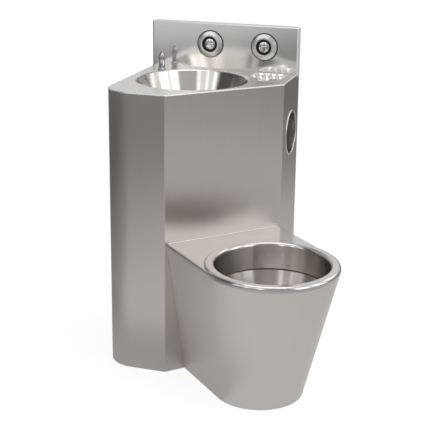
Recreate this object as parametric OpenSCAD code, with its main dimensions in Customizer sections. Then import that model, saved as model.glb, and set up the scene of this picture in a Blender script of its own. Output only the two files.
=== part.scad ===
// Toilet and basin combination unit in stainless steel, for a corner beside a wall.
// A cabinet with a basin on top stands on the floor against the wall. The pan is fixed to
// its diagonal front face, so it points forwards and to the right. Both are worked by air
// push buttons in the splashback. Millimetres, +Z up, wall on the +Y side.

/* [Cabinet] */
// Width of the cabinet along the wall
cabinet_w = 480; // [470:5:520]
// Depth of the cabinet from the wall to its left front face
cabinet_d = 480; // [475:5:520]
// Length that the diagonal front face cuts off the width and the depth
chamfer = 280; // [275:5:300]
// Outer radius of the rounded left front corner
corner_r = 90; // [60:5:120]
// Height of the basin deck above the floor
deck_z = 855; // [845:5:900]
// Thickness of the stainless steel sheet
sheet = 2; // [1.5:0.5:3]
// Radius of the rolled edge of the basin deck
edge_r = 4; // [3:0.5:6]
// Depth of the basin deck's turned down edge
edge_h = 10; // [8:1:16]
// Width of the flanges that lie on the wall
flange_w = 25; // [20:1:32]

/* [Splashback] */
// Height of the splashback above the basin deck
splash_h = 145; // [135:5:180]
// Depth of the splashback from the wall
splash_d = 30; // [29:1:40]
// Radius of the splashback's folded edges
splash_edge_r = 4; // [3:0.5:6]

/* [Basin] */
// Distance of the bowl's rim from the left side
basin_side = 21; // [18:1:30]
// Distance of the bowl's rim from the splashback
basin_back = 16; // [12:1:24]
// Distance of the bowl's rim from the diagonal front face
basin_front = 8.55; // [6:0.05:16]
// Radius of the bowl's rolled rim
basin_rim_r = 9; // [6:1:10]
// Slope of the bowl's wall from the upright, in degrees
basin_taper = 24; // [14:1:28]
// Height of the bowl's sloping wall
basin_wall_h = 89.5; // [70:0.5:95]
// Radius of the bend between the bowl's wall and floor
basin_bend_r = 50; // [40:1:58]
// Fall of the bowl's floor towards the waste, in degrees
basin_fall = 5; // [3:1:7]

/* [Basin waste] */
// Radius of the waste's flange
waste_flange_r = 33; // [30:1:38]
// Radius of the waste's threaded tail
waste_r = 20; // [18:0.5:22]
// Length of the waste's tail below the bowl's floor
waste_l = 45; // [40:1:55]
// Radius of the basin trap's pipe
trap_r = 20; // [18:0.5:21]
// Height of the trap's outlet above the floor
trap_z = 610; // [600:5:620]
// Depth of the trap's bend below its outlet
trap_dip = 108; // [90:1:130]
// Distance between the trap's two legs
trap_legs = 74; // [72:1:90]

/* [Soap dish] */
// Distance of the soap dish from the right side
dish_side = 26; // [20:1:32]
// Gap between the soap dish's corner and the bowl's rim
dish_basin = 9.97; // [6:0.01:16]
// Distance of the soap dish's back edge from the splashback
dish_gap = 14; // [8:1:20]
// Length of the soap dish at right angles to the wall
dish_l = 82; // [76:1:86]
// Length of the drain tongue in front of the soap dish
tongue_l = 52; // [30:1:56]
// Width of the drain tongue
tongue_w = 36; // [30:1:38]
// Depth of the soap dish
dish_depth = 5; // [4:0.5:7]
// Radius of the soap dish's corners
dish_corner_r = 14; // [8:1:18]
// Number of ribs
rib_count = 5; // [3:1:5]
// Distance of the outer ribs' centres from the sides of the soap dish
rib_margin = 13; // [9:0.5:16]
// Length of a rib
rib_l = 60; // [40:1:66]
// Radius of a rib
rib_r = 5.5; // [4:0.5:6]
// Height of the ribs above the basin deck
rib_rise = 3.5; // [1:0.5:4]

/* [Toilet roll holder] */
// Inner radius of the holder
roll_r = 64; // [60:1:66]
// Depth of the holder
roll_depth = 112; // [100:1:116]
// Height of the holder's axis
roll_z = 685; // [660:5:700]
// Distance of the holder's axis from the middle of the right side, towards the wall
roll_shift = 2; // [0:1:6]
// Radius of the holder's rounded rim
roll_rim_r = 5; // [3:0.5:7]

/* [Spout] */
// Distance of the spout from the left side
spout_x = 54; // [46:1:56]
// Distance of the spout from the wall
spout_y = 94; // [89:1:96]
// Radius of the spout's body
spout_r = 9.5; // [8:0.5:11]
// Height of the spout above the basin deck
spout_h = 60; // [50:1:75]
// Radius of the water hole in the nozzle
nozzle_r = 3; // [2:0.5:4]
// Radius of the spout's threaded stem
stem_r = 6; // [5:0.5:7]

/* [Push buttons] */
// Distance of the tap button from the left side
tap_button_x = 195; // [180:1:200]
// Distance of the flush button from the left side
flush_button_x = 372; // [365:1:385]
// Height of the buttons above the basin deck
button_up = 80; // [70:1:85]
// Outer radius of a button's bezel
bezel_r = 42; // [38:1:46]
// Height of a bezel above the splashback
bezel_h = 11; // [9:0.5:14]
// Radius of the recess round a button
recess_r = 25; // [23:0.5:28]
// Radius of a button's head
button_r = 17; // [15:0.5:18]
// Travel of a button
button_travel = 5; // [3:0.5:6]
// Outer radius of a button's housing
housing_r = 21; // [20.5:0.5:22]

/* [Pan] */
// Distance of the pan's nose centre from the diagonal front face
pan_reach = 281; // [276:1:300]
// Inner radius of the pan bowl's upright wall
pan_bowl_r = 172; // [170:0.5:173]
// Distance of the opening's edge in front of the bowl's wall
bowl_gap = 10; // [9:0.5:12]
// Width of the seat ring
ring_w = 30; // [28:1:36]
// Height of the pan's deck
pan_deck_z = 411; // [400:1:440]
// Height of the seat ring above the pan's deck
ring_rise = 6; // [4:0.5:10]
// Radius of the seat ring's rolled edges
ring_roll_r = 10; // [7:0.5:12]
// Height of the flushing rim's wall below the pan's deck
flush_wall = 73; // [60:1:85]
// Width of the gap between the flushing rim and the bowl
flush_gap = 2.5; // [1.5:0.5:3]
// Taper of the pan bowl below its upright wall, in degrees
pan_taper = 18; // [17:1:24]
// Height above the floor at which the bend in the pan bowl begins
pan_bend_z = 270; // [262:2:290]
// Radius of the bend in the pan bowl
pan_bend_r = 100; // [80:1:104]
// Radius of the coved joint between pan deck and cabinet
cove_r = 9; // [6:1:14]
// Setback of the skirt's nose centre at the floor
foot_back = 61; // [50:1:70]
// Amount by which the skirt's nose radius is smaller at the floor
foot_in = 60; // [50:1:66]
// Step between the rim's edge and the skirt
skirt_step = 1; // [0.5:0.5:1.5]

/* [Soil pipe] */
// Outer radius of the soil pipe
soil_r = 51; // [45:0.5:55]
// Wall of the soil pipe
soil_wall = 2; // [1.5:0.5:3]
// Height of the soil outlet above the floor
soil_z = 232; // [226:1:240]
// Distance of the soil outlet from the left side
soil_x = 290; // [270:1:300]
// Height of the pan bowl's throat above the floor
throat_z = 150; // [148:1:158]
// Height of the trap's lowest run above the floor
trap_run_z = 84; // [78:1:87]

/* [Flush] */
// Distance of the flush valve from the left side
flush_x = 270; // [266:1:280]
// Distance of the flush valve from the wall
flush_y = 150; // [145:1:160]
// Height of the flush valve's lower end
flush_valve_z = 540; // [525:1:545]
// Radius of the flush valve
flush_valve_r = 28; // [25:0.5:30]
// Height of the flush valve
flush_valve_h = 80; // [72:1:84]
// Depth below the pan's deck at which the flush pipe enters the pan
flush_in_drop = 39; // [35:1:43]
// Outer radius of the flush pipe
flush_r = 16; // [14:0.5:17]
// Outer radius of the flush supply pipe
flush_supply_r = 11; // [7.5:0.5:11]

/* [Tap supply] */
// Height of the tap valve's lower end
tap_valve_z = 600; // [590:1:615]
// Radius of the tap valve
tap_valve_r = 18; // [16:0.5:20]
// Height of the tap valve
tap_valve_h = 65; // [55:1:75]
// Outer radius of the tap supply pipe
tap_supply_r = 7.5; // [5:0.5:8]

/* [Isolating valves] */
// Distance of the isolating valves' stems from the wall
isolator_y = 48; // [40:1:52]
// Length of an isolating valve's body
isolator_l = 44; // [40:1:48]
// Outer radius of an isolating valve's body
isolator_r = 15; // [14:0.5:17]
// Radius of the ball
ball_r = 11.7; // [10.5:0.1:12]
// Radius of the stem
isolator_stem_r = 4; // [3:0.5:5]
// Length of a lever from its stem
lever_l = 56; // [45:1:60]

/* [Air tubes] */
// Outer radius of an air tube
air_r = 4; // [3:0.5:5]
// Inner radius of an air tube
air_bore_r = 2.5; // [1.5:0.25:2.5]
// Height of the lower run of the tap's air tube
tap_air_z = 655; // [650:1:660]
// Height of the lower run of the flush valve's air tube
flush_air_z = 668; // [664:1:675]

/* [Fixings] */
// Height of the upper wall rail's centre
upper_rail_z = 800; // [760:5:820]
// Height of the lower wall rail's centre
lower_rail_z = 110; // [80:5:130]
// Height of a wall rail
rail_h = 40; // [30:1:50]
// Thickness of rails and brackets
rail_t = 4; // [3:0.5:6]
// Distance between the wall fixing holes, across
wall_holes_w = 390; // [360:5:400]
// Radius of the wall fixing holes
wall_hole_r = 5; // [4:0.5:6]
// Leg of a floor bracket
bracket_leg = 40; // [36:1:50]
// Distance of the floor bracket's hole from the side
floor_hole_in = 26; // [24:1:30]
// Distance of the floor fixing holes from the wall
floor_hole_y = 120; // [90:5:140]
// Radius of the floor fixing holes
floor_hole_r = 5.5; // [4:0.5:6]

/* [Hidden] */
$fn = 96;

// Gap left between curved faces that are welded or pressed together
fit_gap = 0.1;
// Running gap between a part that moves and its guide
run_gap = 0.08;
// Gap between a ball or shoulder and its seat
seat_gap = 0.3;
// Overshoot of a cut past a face
cut = 1;
// Length that a slanting wall runs into a bend of the same piece, and its step there
lap = 0.5;
lap_step = 0.02;

k = sqrt(0.5);
// The diagonal front face lies where x - y has this value
front_sum = cabinet_w - chamfer + cabinet_d;
inner_sum = front_sum - sheet / k;
// Corners of the front face in plan, outside and inside the sheet
left_out = [cabinet_w - chamfer, -cabinet_d];
right_out = [cabinet_w, chamfer - cabinet_d];
left_in = [inner_sum - cabinet_d + sheet, sheet - cabinet_d];
right_in = [cabinet_w - sheet, cabinet_w - sheet - inner_sum];
front_mid = (left_out + right_out) / 2;
corner_c = [corner_r, corner_r - cabinet_d];
panel_h = deck_z - edge_h;

opening_r = pan_bowl_r - bowl_gap;
pan_r = opening_r + ring_w;
foot_r = pan_r - foot_in;
foot_reach = pan_reach - foot_back;
flush_in_z = pan_deck_z - flush_in_drop;
pan_c = front_mid + pan_reach * [k, -k];
origin = [(pan_c[0] + pan_r) / 2, (pan_c[1] - pan_r) / 2, 0];

splash_front = -splash_d;
button_z = deck_z + button_up;
air_in = 16;
air_y = splash_front + air_in;

// The bowl's rim touches three lines: its margins to the left side, splashback and front face
basin_out_r = even((k * (front_sum - splash_d - basin_side - basin_back) - basin_front) / (1 + 2 * k));
basin_rim_c = [basin_out_r, deck_z - basin_rim_r];
basin_x = basin_side + basin_out_r;
basin_y = splash_d + basin_back + basin_out_r;
basin_c = [basin_x, -basin_y];
basin_wall_l = basin_wall_h / cos(basin_taper);
basin_wall_run = basin_wall_l * [sin(basin_taper), cos(basin_taper)];
basin_bend_c = basin_rim_c - basin_wall_run
    - (basin_rim_r + basin_bend_r) * [cos(basin_taper), -sin(basin_taper)];
basin_bend_a = basin_fall - 90;
waste_seat_r = waste_flange_r + 1;
basin_bend_end = basin_bend_c + basin_bend_r * [cos(basin_bend_a), sin(basin_bend_a)];
basin_floor_z = even(basin_bend_end[1] - (basin_bend_end[0] - waste_seat_r) * tan(basin_fall));
waste_end_z = basin_floor_z - waste_l;
waste_flange_t = 2;
waste_wall = 3;
grate_r = 3.5;
waste_washer_t = 3;
waste_nut_h = 7;
waste_nut_t = 8;
trap_nut_h = 22;
trap_nut_drop = 12;
trap_nut_t = 7;
trap_wall = 1.5;

dish_back = splash_front - dish_gap;
// The soap dish reaches from its margin on the right to the bowl's rim
dish_corner_y = dish_back - dish_l + dish_corner_r;
dish_corner_off = basin_out_r + dish_basin + dish_corner_r;
dish_corner_x = basin_x + sqrt(pow(dish_corner_off, 2) - pow(basin_y + dish_corner_y, 2));
dish_w = even(cabinet_w - dish_side - dish_corner_x + dish_corner_r);
dish_c = cabinet_w - dish_side - dish_w / 2;
rib_pitch = (dish_w - 2 * rib_margin) / (rib_count - 1);

roll_y = (cabinet_d - chamfer) / 2 - roll_shift;

pan_edge_h = 10;
rim_z = pan_deck_z + ring_rise;
rim_low_z = pan_deck_z - pan_edge_h;
roll_c_z = rim_z - ring_roll_r;
flush_low_z = pan_deck_z - flush_wall;
pan_deck_edge_r = 5;
flush_low_r = opening_r + sheet + flush_gap;
pan_wall_z = flush_low_z + (pan_bowl_r - flush_low_r) / tan(pan_taper);
pan_bend_start = [flush_low_r - (flush_low_z - pan_bend_z) * tan(pan_taper), pan_bend_z];
pan_bend_c = pan_bend_start - pan_bend_r * [cos(pan_taper), -sin(pan_taper)];
pan_cone_a = 60;
pan_bend_end = pan_bend_c + pan_bend_r * [cos(pan_cone_a), -sin(pan_cone_a)];
throat_bore_r = soil_r - soil_wall;
throat_fillet_r = 25;
throat_c_r = throat_bore_r + throat_fillet_r;
throat_top_r = throat_c_r - throat_fillet_r * cos(pan_cone_a);
throat_top_z = pan_bend_end[1] - (pan_bend_end[0] - throat_top_r) / tan(pan_cone_a);
throat_c_z = even(throat_top_z - throat_fillet_r * sin(pan_cone_a));
skirt_r = pan_r - skirt_step;
// Length of the shoulders that run from the seat ring into the straight edges of the deck
shoulder_l = 22;
shoulder_t = 1.7;
gusset_t = 3;
gusset_l = 84;
gusset_h = 190;
gusset_in = 62;
gusset_end_h = 20;
gusset_end_l = 16;
seal_l = 24;
seal_out = 14;
seal_t = 6;

isolator_boss_l = isolator_r + 5;
lever_t = 3;
lever_w = 12;
hub_t = 4;
flush_bore_r = 8;
tap_bore_r = 6;
isolator_end_y = -isolator_y - isolator_l / 2;
isolator_start_y = -isolator_y + isolator_l / 2;
tap_line_rise = 16;
tap_line_z = tap_valve_z + tap_line_rise;
flush_line_drop = 26;
flush_line_z = flush_valve_z + flush_valve_h - flush_line_drop;
valve_cap_h = 12;
valve_cap_in = 6;
valve_collar_h = 14;
valve_inlet_l = 10;
inlet_t = 3;
pipe_wall = 1;
flush_inlet_y = -flush_y + flush_valve_r + valve_inlet_l;
nipple_r = air_bore_r - fit_gap;
nipple_l = 12;

// Length that a bend of radius r through angle a takes off the straight runs beside it
function off(r, a = 90) = r * tan(a / 2);
// Heights that walls of one piece share are kept to a hundredth
function even(x) = round(100 * x) / 100;

// Distance along the pan's axis from the front face to a point of that axis at x
function axis_u(x) = (x - front_mid[0]) / k;

// Runs of pipe: length of each straight, then the angle of the bend after it and the
// direction of that bend, turned from the run's own X axis
soil_hole_gap = 3;
flush_hole_gap = 2;
coupling_l = 14;
coupling_t = 2;
joint_gap = 0.5;
soil_bend_r = 61;
soil_rise_l = 90;
soil_end_u = axis_u(soil_x);
soil_joint_y = front_mid[0] + front_mid[1] - soil_x + off(soil_bend_r, 45);
soil_pan_runs = [
    [throat_z - trap_run_z - off(soil_bend_r), 90, 180],
    [pan_reach - soil_rise_l - 2 * off(soil_bend_r), 90, 0],
    [soil_z - trap_run_z - 2 * off(soil_bend_r), 90, 180],
    [soil_rise_l - soil_end_u - off(soil_bend_r) - off(soil_bend_r, 45), 45, -90]];

trap_bend_r = trap_legs / 2 - 1;
trap_low_z = trap_z - trap_dip;
trap_runs = [
    [waste_end_z - trap_low_z - off(trap_bend_r), 90, -90],
    [trap_legs - 2 * off(trap_bend_r), 90, 0],
    [trap_dip - 2 * off(trap_bend_r), 90, 180],
    [basin_y - trap_legs - off(trap_bend_r)]];

flush_bend_r = 40;
flush_wall_t = 1.5;
flush_end_u = pan_reach - pan_bowl_r;
flush_joint_y = front_mid[0] + front_mid[1] - flush_x + off(flush_bend_r, 45);
flush_pan_runs = [
    [flush_end_u - axis_u(flush_x) - off(flush_bend_r, 45), 45, 90]];
flush_valve_runs = [
    [-flush_joint_y - joint_gap - flush_y - off(flush_bend_r), 90, -90],
    [flush_valve_z - valve_collar_h - flush_in_z - off(flush_bend_r)]];

air_bend_r = 16;
air_top_z = button_z - housing_r - cut;
air_run_y = flush_y + air_y;
flush_air_runs = [
    [air_top_z - flush_air_z - off(air_bend_r), 90, 180],
    [flush_button_x - flush_x - 2 * off(air_bend_r), 90, -90],
    [air_run_y - 2 * off(air_bend_r), 90, -90],
    [flush_air_z - flush_valve_z - flush_valve_h - valve_cap_h - cut - off(air_bend_r)]];
tap_air_runs = [
    [air_top_z - tap_air_z - off(air_bend_r), 90, 90],
    [spout_y + air_y - 2 * off(air_bend_r), 90, 90],
    [tap_button_x - spout_x - tap_valve_r - cut - off(air_bend_r)]];

// Puts the middle of the unit's footprint at the origin
module placed() {
    translate(-origin) children();
}

module at_pan() {
    translate(front_mid) rotate(-45) children();
}

module at_pan_centre() {
    at_pan() translate([pan_reach, 0, 0]) children();
}

// Plan of the cabinet, inset by i from its outer faces
module plan(i) {
    w = cabinet_w - i;
    d = cabinet_d - i;
    s = front_sum - i / k;
    polygon([[i, 0], [w, 0], [w, w - s], [s - d, -d], [corner_c[0], -d], corner_c, [i, corner_c[1]]]);
    translate(corner_c) circle(corner_r - i);
}

// Ring sector round c, from angle a to angle b, less than half a turn
module arc_band(c, r_in, r_out, a, b) {
    far = 4 * r_out;
    translate(c) intersection() {
        difference() {
            circle(r_out);
            circle(r_in);
        }
        polygon([[0, 0], far * [cos(a), sin(a)], far * [cos(b), sin(b)]]);
    }
}

// Upright strip of a section, from radius r, t thick, between heights z0 and z1
module strip(r, t, z0, z1) {
    translate([r, z0]) square([t, z1 - z0]);
}

// Slanting wall that leaves a bend of radius r round c at angle a, clockwise
module slant(c, r, a, length) {
    translate(c) rotate(a) translate([r + lap_step, -length - lap])
        square([sheet - 2 * lap_step, length + 2 * lap]);
}

module ring(r_in, r_out, h) {
    difference() {
        cylinder(r = r_out, h = h);
        translate([0, 0, -cut]) cylinder(r = r_in, h = h + 2 * cut);
    }
}

module hex_nut(flats, bore_r, h) {
    difference() {
        cylinder(r = flats / sqrt(3), h = h, $fn = 6);
        translate([0, 0, -cut]) cylinder(r = bore_r, h = h + 2 * cut);
    }
}

// Straight rod of radius r from point a to point b
module rod(a, b, r) {
    d = b - a;
    translate(a) rotate([0, acos(d[2] / norm(d)), atan2(d[1], d[0])]) cylinder(r = r, h = norm(d));
}

// Rod of radius r that starts along +Z and follows runs, with its ends longer by extra
module bent_rod(runs, r, bend_r, extra = 0, i = 0) {
    h = runs[i][0];
    bend = runs[i][1];
    last = i == len(runs) - 1;
    start = i == 0 ? extra : 0;
    translate([0, 0, -start]) cylinder(r = r, h = h + start + (bend == undef ? extra : 0));
    if (bend != undef) translate([0, 0, h]) rotate(runs[i][2]) translate([bend_r, 0, 0]) {
        rotate([90, 0, 180])
            rotate_extrude(angle = bend + (last ? extra : 0)) translate([bend_r, 0]) circle(r);
        if (!last) rotate([0, bend, 0]) translate([-bend_r, 0, 0])
            bent_rod(runs, r, bend_r, extra, i + 1);
    }
}

module bent_pipe(runs, r, wall, bend_r) {
    difference() {
        bent_rod(runs, r, bend_r);
        bent_rod(runs, r - wall, bend_r, cut);
    }
}

// Coupling along +Z round the joint of two pipes, the first of which is still bending
module coupling(r, wall) {
    translate([0, 0, -coupling_l / 2]) ring(r - wall / 2, r + coupling_t, coupling_l);
}

// Pipe along Y from y0 to y1
module wall_pipe(x, z, y0, y1, r, bore_r) {
    translate([x, y0, z]) rotate([90, 0, 0]) ring(bore_r, r, y0 - y1);
}

module left_panel() placed() color("silver") linear_extrude(panel_h) {
    translate([0, corner_c[1]]) square([sheet, -corner_c[1]]);
    intersection() {
        translate(corner_c) difference() {
            circle(corner_r);
            circle(corner_r - sheet);
        }
        translate([0, -cabinet_d]) square(corner_r);
    }
    polygon([[corner_c[0], -cabinet_d], left_out, left_in, [corner_c[0], sheet - cabinet_d]]);
    translate([0, -sheet]) square([flange_w, sheet]);
}

module front_panel() placed() color("silver") difference() {
    linear_extrude(panel_h) polygon([left_out, right_out, right_in, left_in]);
    at_pan() {
        translate([-2 * sheet, 0, soil_z])
            rotate([0, 90, 0]) cylinder(r = soil_r + soil_hole_gap, h = 4 * sheet);
        translate([-2 * sheet, 0, flush_in_z])
            rotate([0, 90, 0]) cylinder(r = flush_r + flush_hole_gap, h = 4 * sheet);
    }
}

module right_panel() placed() color("silver") difference() {
    linear_extrude(panel_h) polygon([[cabinet_w, 0], [cabinet_w - flange_w, 0],
        [cabinet_w - flange_w, -sheet], [cabinet_w - sheet, -sheet], right_in, right_out]);
    translate([cabinet_w - sheet - cut, -roll_y, roll_z])
        rotate([0, 90, 0]) cylinder(r = roll_r + sheet + fit_gap, h = sheet + 2 * cut);
}

// Solid with the outer form of the basin deck, its upper edge rolled
module deck_block() {
    hull() {
        translate([0, 0, panel_h]) linear_extrude(0.01) plan(0);
        for (a = [0 : 22.5 : 90]) translate([0, 0, deck_z - edge_r * (1 - sin(a)) - 0.01])
            linear_extrude(0.01) plan(edge_r * (1 - cos(a)));
    }
}

// Outline of the soap dish and its drain tongue, inset by i
module dish_outline(i) {
    r = dish_corner_r - i;
    x = dish_w / 2 - dish_corner_r;
    y = [dish_back - dish_corner_r, dish_corner_y];
    half = tongue_w / 2;
    tongue_y = dish_back - dish_l - tongue_l + half;
    translate([dish_c, 0]) {
        for (a = [-x, x], b = y) translate([a, b]) circle(r);
        translate([-x, y[1] - r]) square([2 * x, y[0] - y[1] + 2 * r]);
        translate([-x - r, y[1]]) square([2 * (x + r), y[0] - y[1]]);
        translate([0, tongue_y]) circle(half - i);
        translate([i - half, tongue_y]) square([tongue_w - 2 * i, dish_back - dish_l / 2 - tongue_y]);
    }
}

module basin_deck() placed() color("gainsboro") difference() {
    deck_block();
    translate([0, 0, panel_h - cut]) linear_extrude(edge_h - sheet + cut) plan(sheet);
    translate([-cut, splash_front, panel_h - cut])
        cube([cabinet_w + 2 * cut, splash_d + cut, edge_h + 2 * cut]);
    translate([basin_x, -basin_y, panel_h - cut])
        cylinder(r = basin_out_r + fit_gap, h = edge_h + 2 * cut);
    translate([0, 0, panel_h - cut]) linear_extrude(edge_h + 2 * cut) dish_outline(-fit_gap);
    translate([spout_x, -spout_y, panel_h - cut])
        cylinder(r = stem_r + seat_gap, h = edge_h + 2 * cut);
}

module splashback() placed() color("gainsboro") difference() {
    r = splash_edge_r;
    top = deck_z + splash_h;
    union() {
        translate([0, splash_front + r, panel_h]) cube([cabinet_w, splash_d - r, top - r - panel_h]);
        translate([r, splash_front, deck_z]) cube([cabinet_w - 2 * r, splash_d, splash_h - r]);
        translate([r, splash_front + r, deck_z]) cube([cabinet_w - 2 * r, splash_d - r, splash_h]);
        for (x = [r, cabinet_w - r]) {
            rod([x, splash_front + r, deck_z], [x, splash_front + r, top - r], r);
            rod([x, splash_front + r, top - r], [x, 0, top - r], r);
            translate([x, splash_front + r, top - r]) sphere(r);
        }
        rod([r, splash_front + r, top - r], [cabinet_w - r, splash_front + r, top - r], r);
        translate([0, splash_front, panel_h]) cube([cabinet_w, splash_d, edge_h]);
    }
    translate([sheet, splash_front + sheet, panel_h - cut])
        cube([cabinet_w - 2 * sheet, splash_d - sheet + cut, top - sheet - panel_h + cut]);
    for (x = [tap_button_x, flush_button_x])
        translate([x, splash_front + sheet + cut, button_z])
            rotate([90, 0, 0]) cylinder(r = housing_r + seat_gap, h = sheet + 2 * cut);
}

module basin_bowl() placed() color("whitesmoke") translate(basin_c) rotate_extrude() {
    arc_band(basin_rim_c, basin_rim_r - sheet, basin_rim_r, 90, 180 - basin_taper);
    slant(basin_bend_c + basin_wall_run, basin_bend_r, -basin_taper, basin_wall_l);
    arc_band(basin_bend_c, basin_bend_r, basin_bend_r + sheet, basin_bend_a, -basin_taper);
    slant(basin_bend_c, basin_bend_r, basin_bend_a,
        (basin_bend_end[0] - waste_seat_r) / cos(basin_fall));
    strip(waste_r + cut, waste_seat_r - waste_r - cut, basin_floor_z - sheet, basin_floor_z);
}

module rib(z) {
    half = rib_l / 2 - rib_r;
    rod([0, -half, z], [0, half, z], rib_r);
    for (y = [-half, half]) translate([0, y, z]) sphere(rib_r);
}

module soap_dish() placed() color("gainsboro") {
    low = deck_z - dish_depth - sheet;
    difference() {
        translate([0, 0, low]) linear_extrude(dish_depth + sheet) dish_outline(0);
        translate([0, 0, deck_z - dish_depth]) linear_extrude(dish_depth + cut) dish_outline(sheet);
    }
    for (i = [0 : rib_count - 1])
        translate([dish_c + (i - (rib_count - 1) / 2) * rib_pitch, dish_back - dish_l / 2, 0])
            intersection() {
                rib(deck_z + rib_rise - rib_r);
                translate([-rib_r, -rib_l / 2, low + sheet / 2])
                    cube([2 * rib_r, rib_l, dish_depth + sheet + rib_rise]);
            }
}

module roll_holder() placed() color("silver") translate([cabinet_w, -roll_y, roll_z]) {
    rotate([0, -90, 0]) difference() {
        cylinder(r = roll_r + sheet, h = roll_depth);
        translate([0, 0, -cut]) cylinder(r = roll_r, h = roll_depth - sheet + cut);
    }
    rotate([0, 90, 0]) rotate_extrude() intersection() {
        translate([roll_r + roll_rim_r, 0]) circle(roll_rim_r);
        translate([roll_r, 0]) square([2 * roll_rim_r, roll_rim_r]);
    }
}

stem_l = 36;
spout_base_t = 3.5;
spout_base_h = 3;
spout_cap_l = 7;
nozzle_wall = 2;
nozzle_l = 3;
spout_washer_t = 2;
spout_nut_h = 6;
spout_nut_t = 4.5;
union_t = 4;
union_l = 14;

module spout() placed() color("white") translate([spout_x, -spout_y, deck_z]) {
    head_z = spout_h - spout_r - spout_cap_l;
    nozzle_z = head_z - nozzle_l;
    difference() {
        union() {
            cylinder(r = spout_r + spout_base_t, h = spout_base_h);
            cylinder(r = spout_r, h = head_z);
            translate([0, 0, head_z]) intersection() {
                cylinder(r1 = spout_r, r2 = spout_r / 2, h = spout_r + spout_cap_l);
                translate([0, 0, nozzle_wall - spout_r]) sphere(2 * spout_r - nozzle_wall);
            }
            translate([0, 0, nozzle_z]) rotate([90, 0, 0])
                cylinder(r = nozzle_r + nozzle_wall, h = spout_r + nozzle_l);
            translate([0, 0, -stem_l]) cylinder(r = stem_r, h = stem_l);
        }
        translate([0, 0, nozzle_z]) rotate([90, 0, 0])
            cylinder(r = nozzle_r, h = spout_r + nozzle_l + cut);
        translate([0, 0, -stem_l - cut]) cylinder(r = nozzle_r, h = stem_l + cut + nozzle_z);
    }
}

module spout_washer() placed() color("dimgray")
    translate([spout_x, -spout_y, deck_z - sheet - spout_washer_t])
        ring(stem_r + fit_gap, spout_r + spout_base_t - cut, spout_washer_t);

module spout_nut() placed() color("goldenrod")
    translate([spout_x, -spout_y, deck_z - sheet - spout_washer_t - spout_nut_h])
        hex_nut(2 * (stem_r + spout_nut_t), stem_r + fit_gap, spout_nut_h);

module spout_tail() placed() color("goldenrod") translate([spout_x, -spout_y, 0]) {
    low = tap_valve_z + tap_valve_h + valve_cap_h;
    join = deck_z - stem_l;
    translate([0, 0, low]) ring(tap_supply_r - pipe_wall, tap_supply_r, join - low);
    translate([0, 0, join - union_t]) ring(tap_supply_r - pipe_wall, stem_r + union_t, union_t);
    translate([0, 0, join]) ring(stem_r + fit_gap, stem_r + union_t, union_l);
}

// Frame of a push button: +Z out of the splashback towards the user
module at_button(x) {
    placed() translate([x, splash_front, button_z]) rotate([90, 0, 0]) children();
}

gasket_t = 1;
gasket_in = 4;
bezel_floor = 3;
bezel_rim_h = 3;
bezel_face_w = 5;
bezel_round_r = 2;
button_low = 2;
dome_r = 40;
shoulder_r = button_r + 1.5;
housing_bore_r = shoulder_r + seat_gap;
shoulder_low = -4;
housing_wall = 2;
housing_l = splash_d - sheet - cut;
// The shoulder of a button stops here when it is pressed
stop_z = shoulder_low - button_travel - seat_gap;
button_nut_h = 6;
button_nut_t = 5;
spring_r = 11;
spring_t = 2;

module button_gasket(x) at_button(x) color("dimgray")
    ring(housing_r + fit_gap, bezel_r - gasket_in, gasket_t);

module button_bezel(x) at_button(x) color("silver") difference() {
    rotate_extrude() {
        face_r = recess_r + bezel_face_w;
        difference() {
            polygon([
                [button_r + run_gap, gasket_t],
                [bezel_r, gasket_t],
                [bezel_r, gasket_t + bezel_rim_h],
                [face_r, bezel_h],
                [recess_r, bezel_h],
                [recess_r, gasket_t + bezel_floor],
                [button_r + run_gap, gasket_t + bezel_floor]]);
            arc_band([bezel_r - bezel_round_r, gasket_t + bezel_rim_h - cut],
                bezel_round_r, 3 * bezel_round_r, 0, 80);
        }
    }
}

module button_head(x) at_button(x) color("white") rotate_extrude() {
    top = bezel_h - button_low;
    strip(0, shoulder_r, shoulder_low, gasket_t - seat_gap);
    intersection() {
        strip(0, button_r, gasket_t - seat_gap, top);
        translate([0, top - dome_r]) circle(dome_r);
    }
}

module button_housing(x) at_button(x) color("dimgray") difference() {
    union() {
        translate([0, 0, -housing_l]) cylinder(r = housing_r, h = housing_l + gasket_t);
        translate([0, 0, -air_in]) rotate([90, 0, 0]) cylinder(r = nipple_r, h = housing_r + nipple_l);
    }
    translate([0, 0, stop_z]) cylinder(r = housing_bore_r, h = housing_l);
    translate([0, 0, housing_wall - housing_l]) cylinder(r = spring_r + cut, h = housing_l);
}

module button_nut(x) at_button(x) color("dimgray")
    translate([0, 0, -sheet - button_nut_h])
        hex_nut(2 * (housing_r + button_nut_t), housing_r + fit_gap, button_nut_h);

module button_spring(x) at_button(x) color("lightsteelblue")
    translate([0, 0, housing_wall - housing_l])
        ring(spring_r - spring_t, spring_r, shoulder_low + housing_l - housing_wall);

module tap_button_gasket() button_gasket(tap_button_x);
module tap_button_bezel() button_bezel(tap_button_x);
module tap_button() button_head(tap_button_x);
module tap_button_housing() button_housing(tap_button_x);
module tap_button_nut() button_nut(tap_button_x);
module tap_button_spring() button_spring(tap_button_x);
module flush_button_gasket() button_gasket(flush_button_x);
module flush_button_bezel() button_bezel(flush_button_x);
module flush_button() button_head(flush_button_x);
module flush_button_housing() button_housing(flush_button_x);
module flush_button_nut() button_nut(flush_button_x);
module flush_button_spring() button_spring(flush_button_x);

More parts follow.
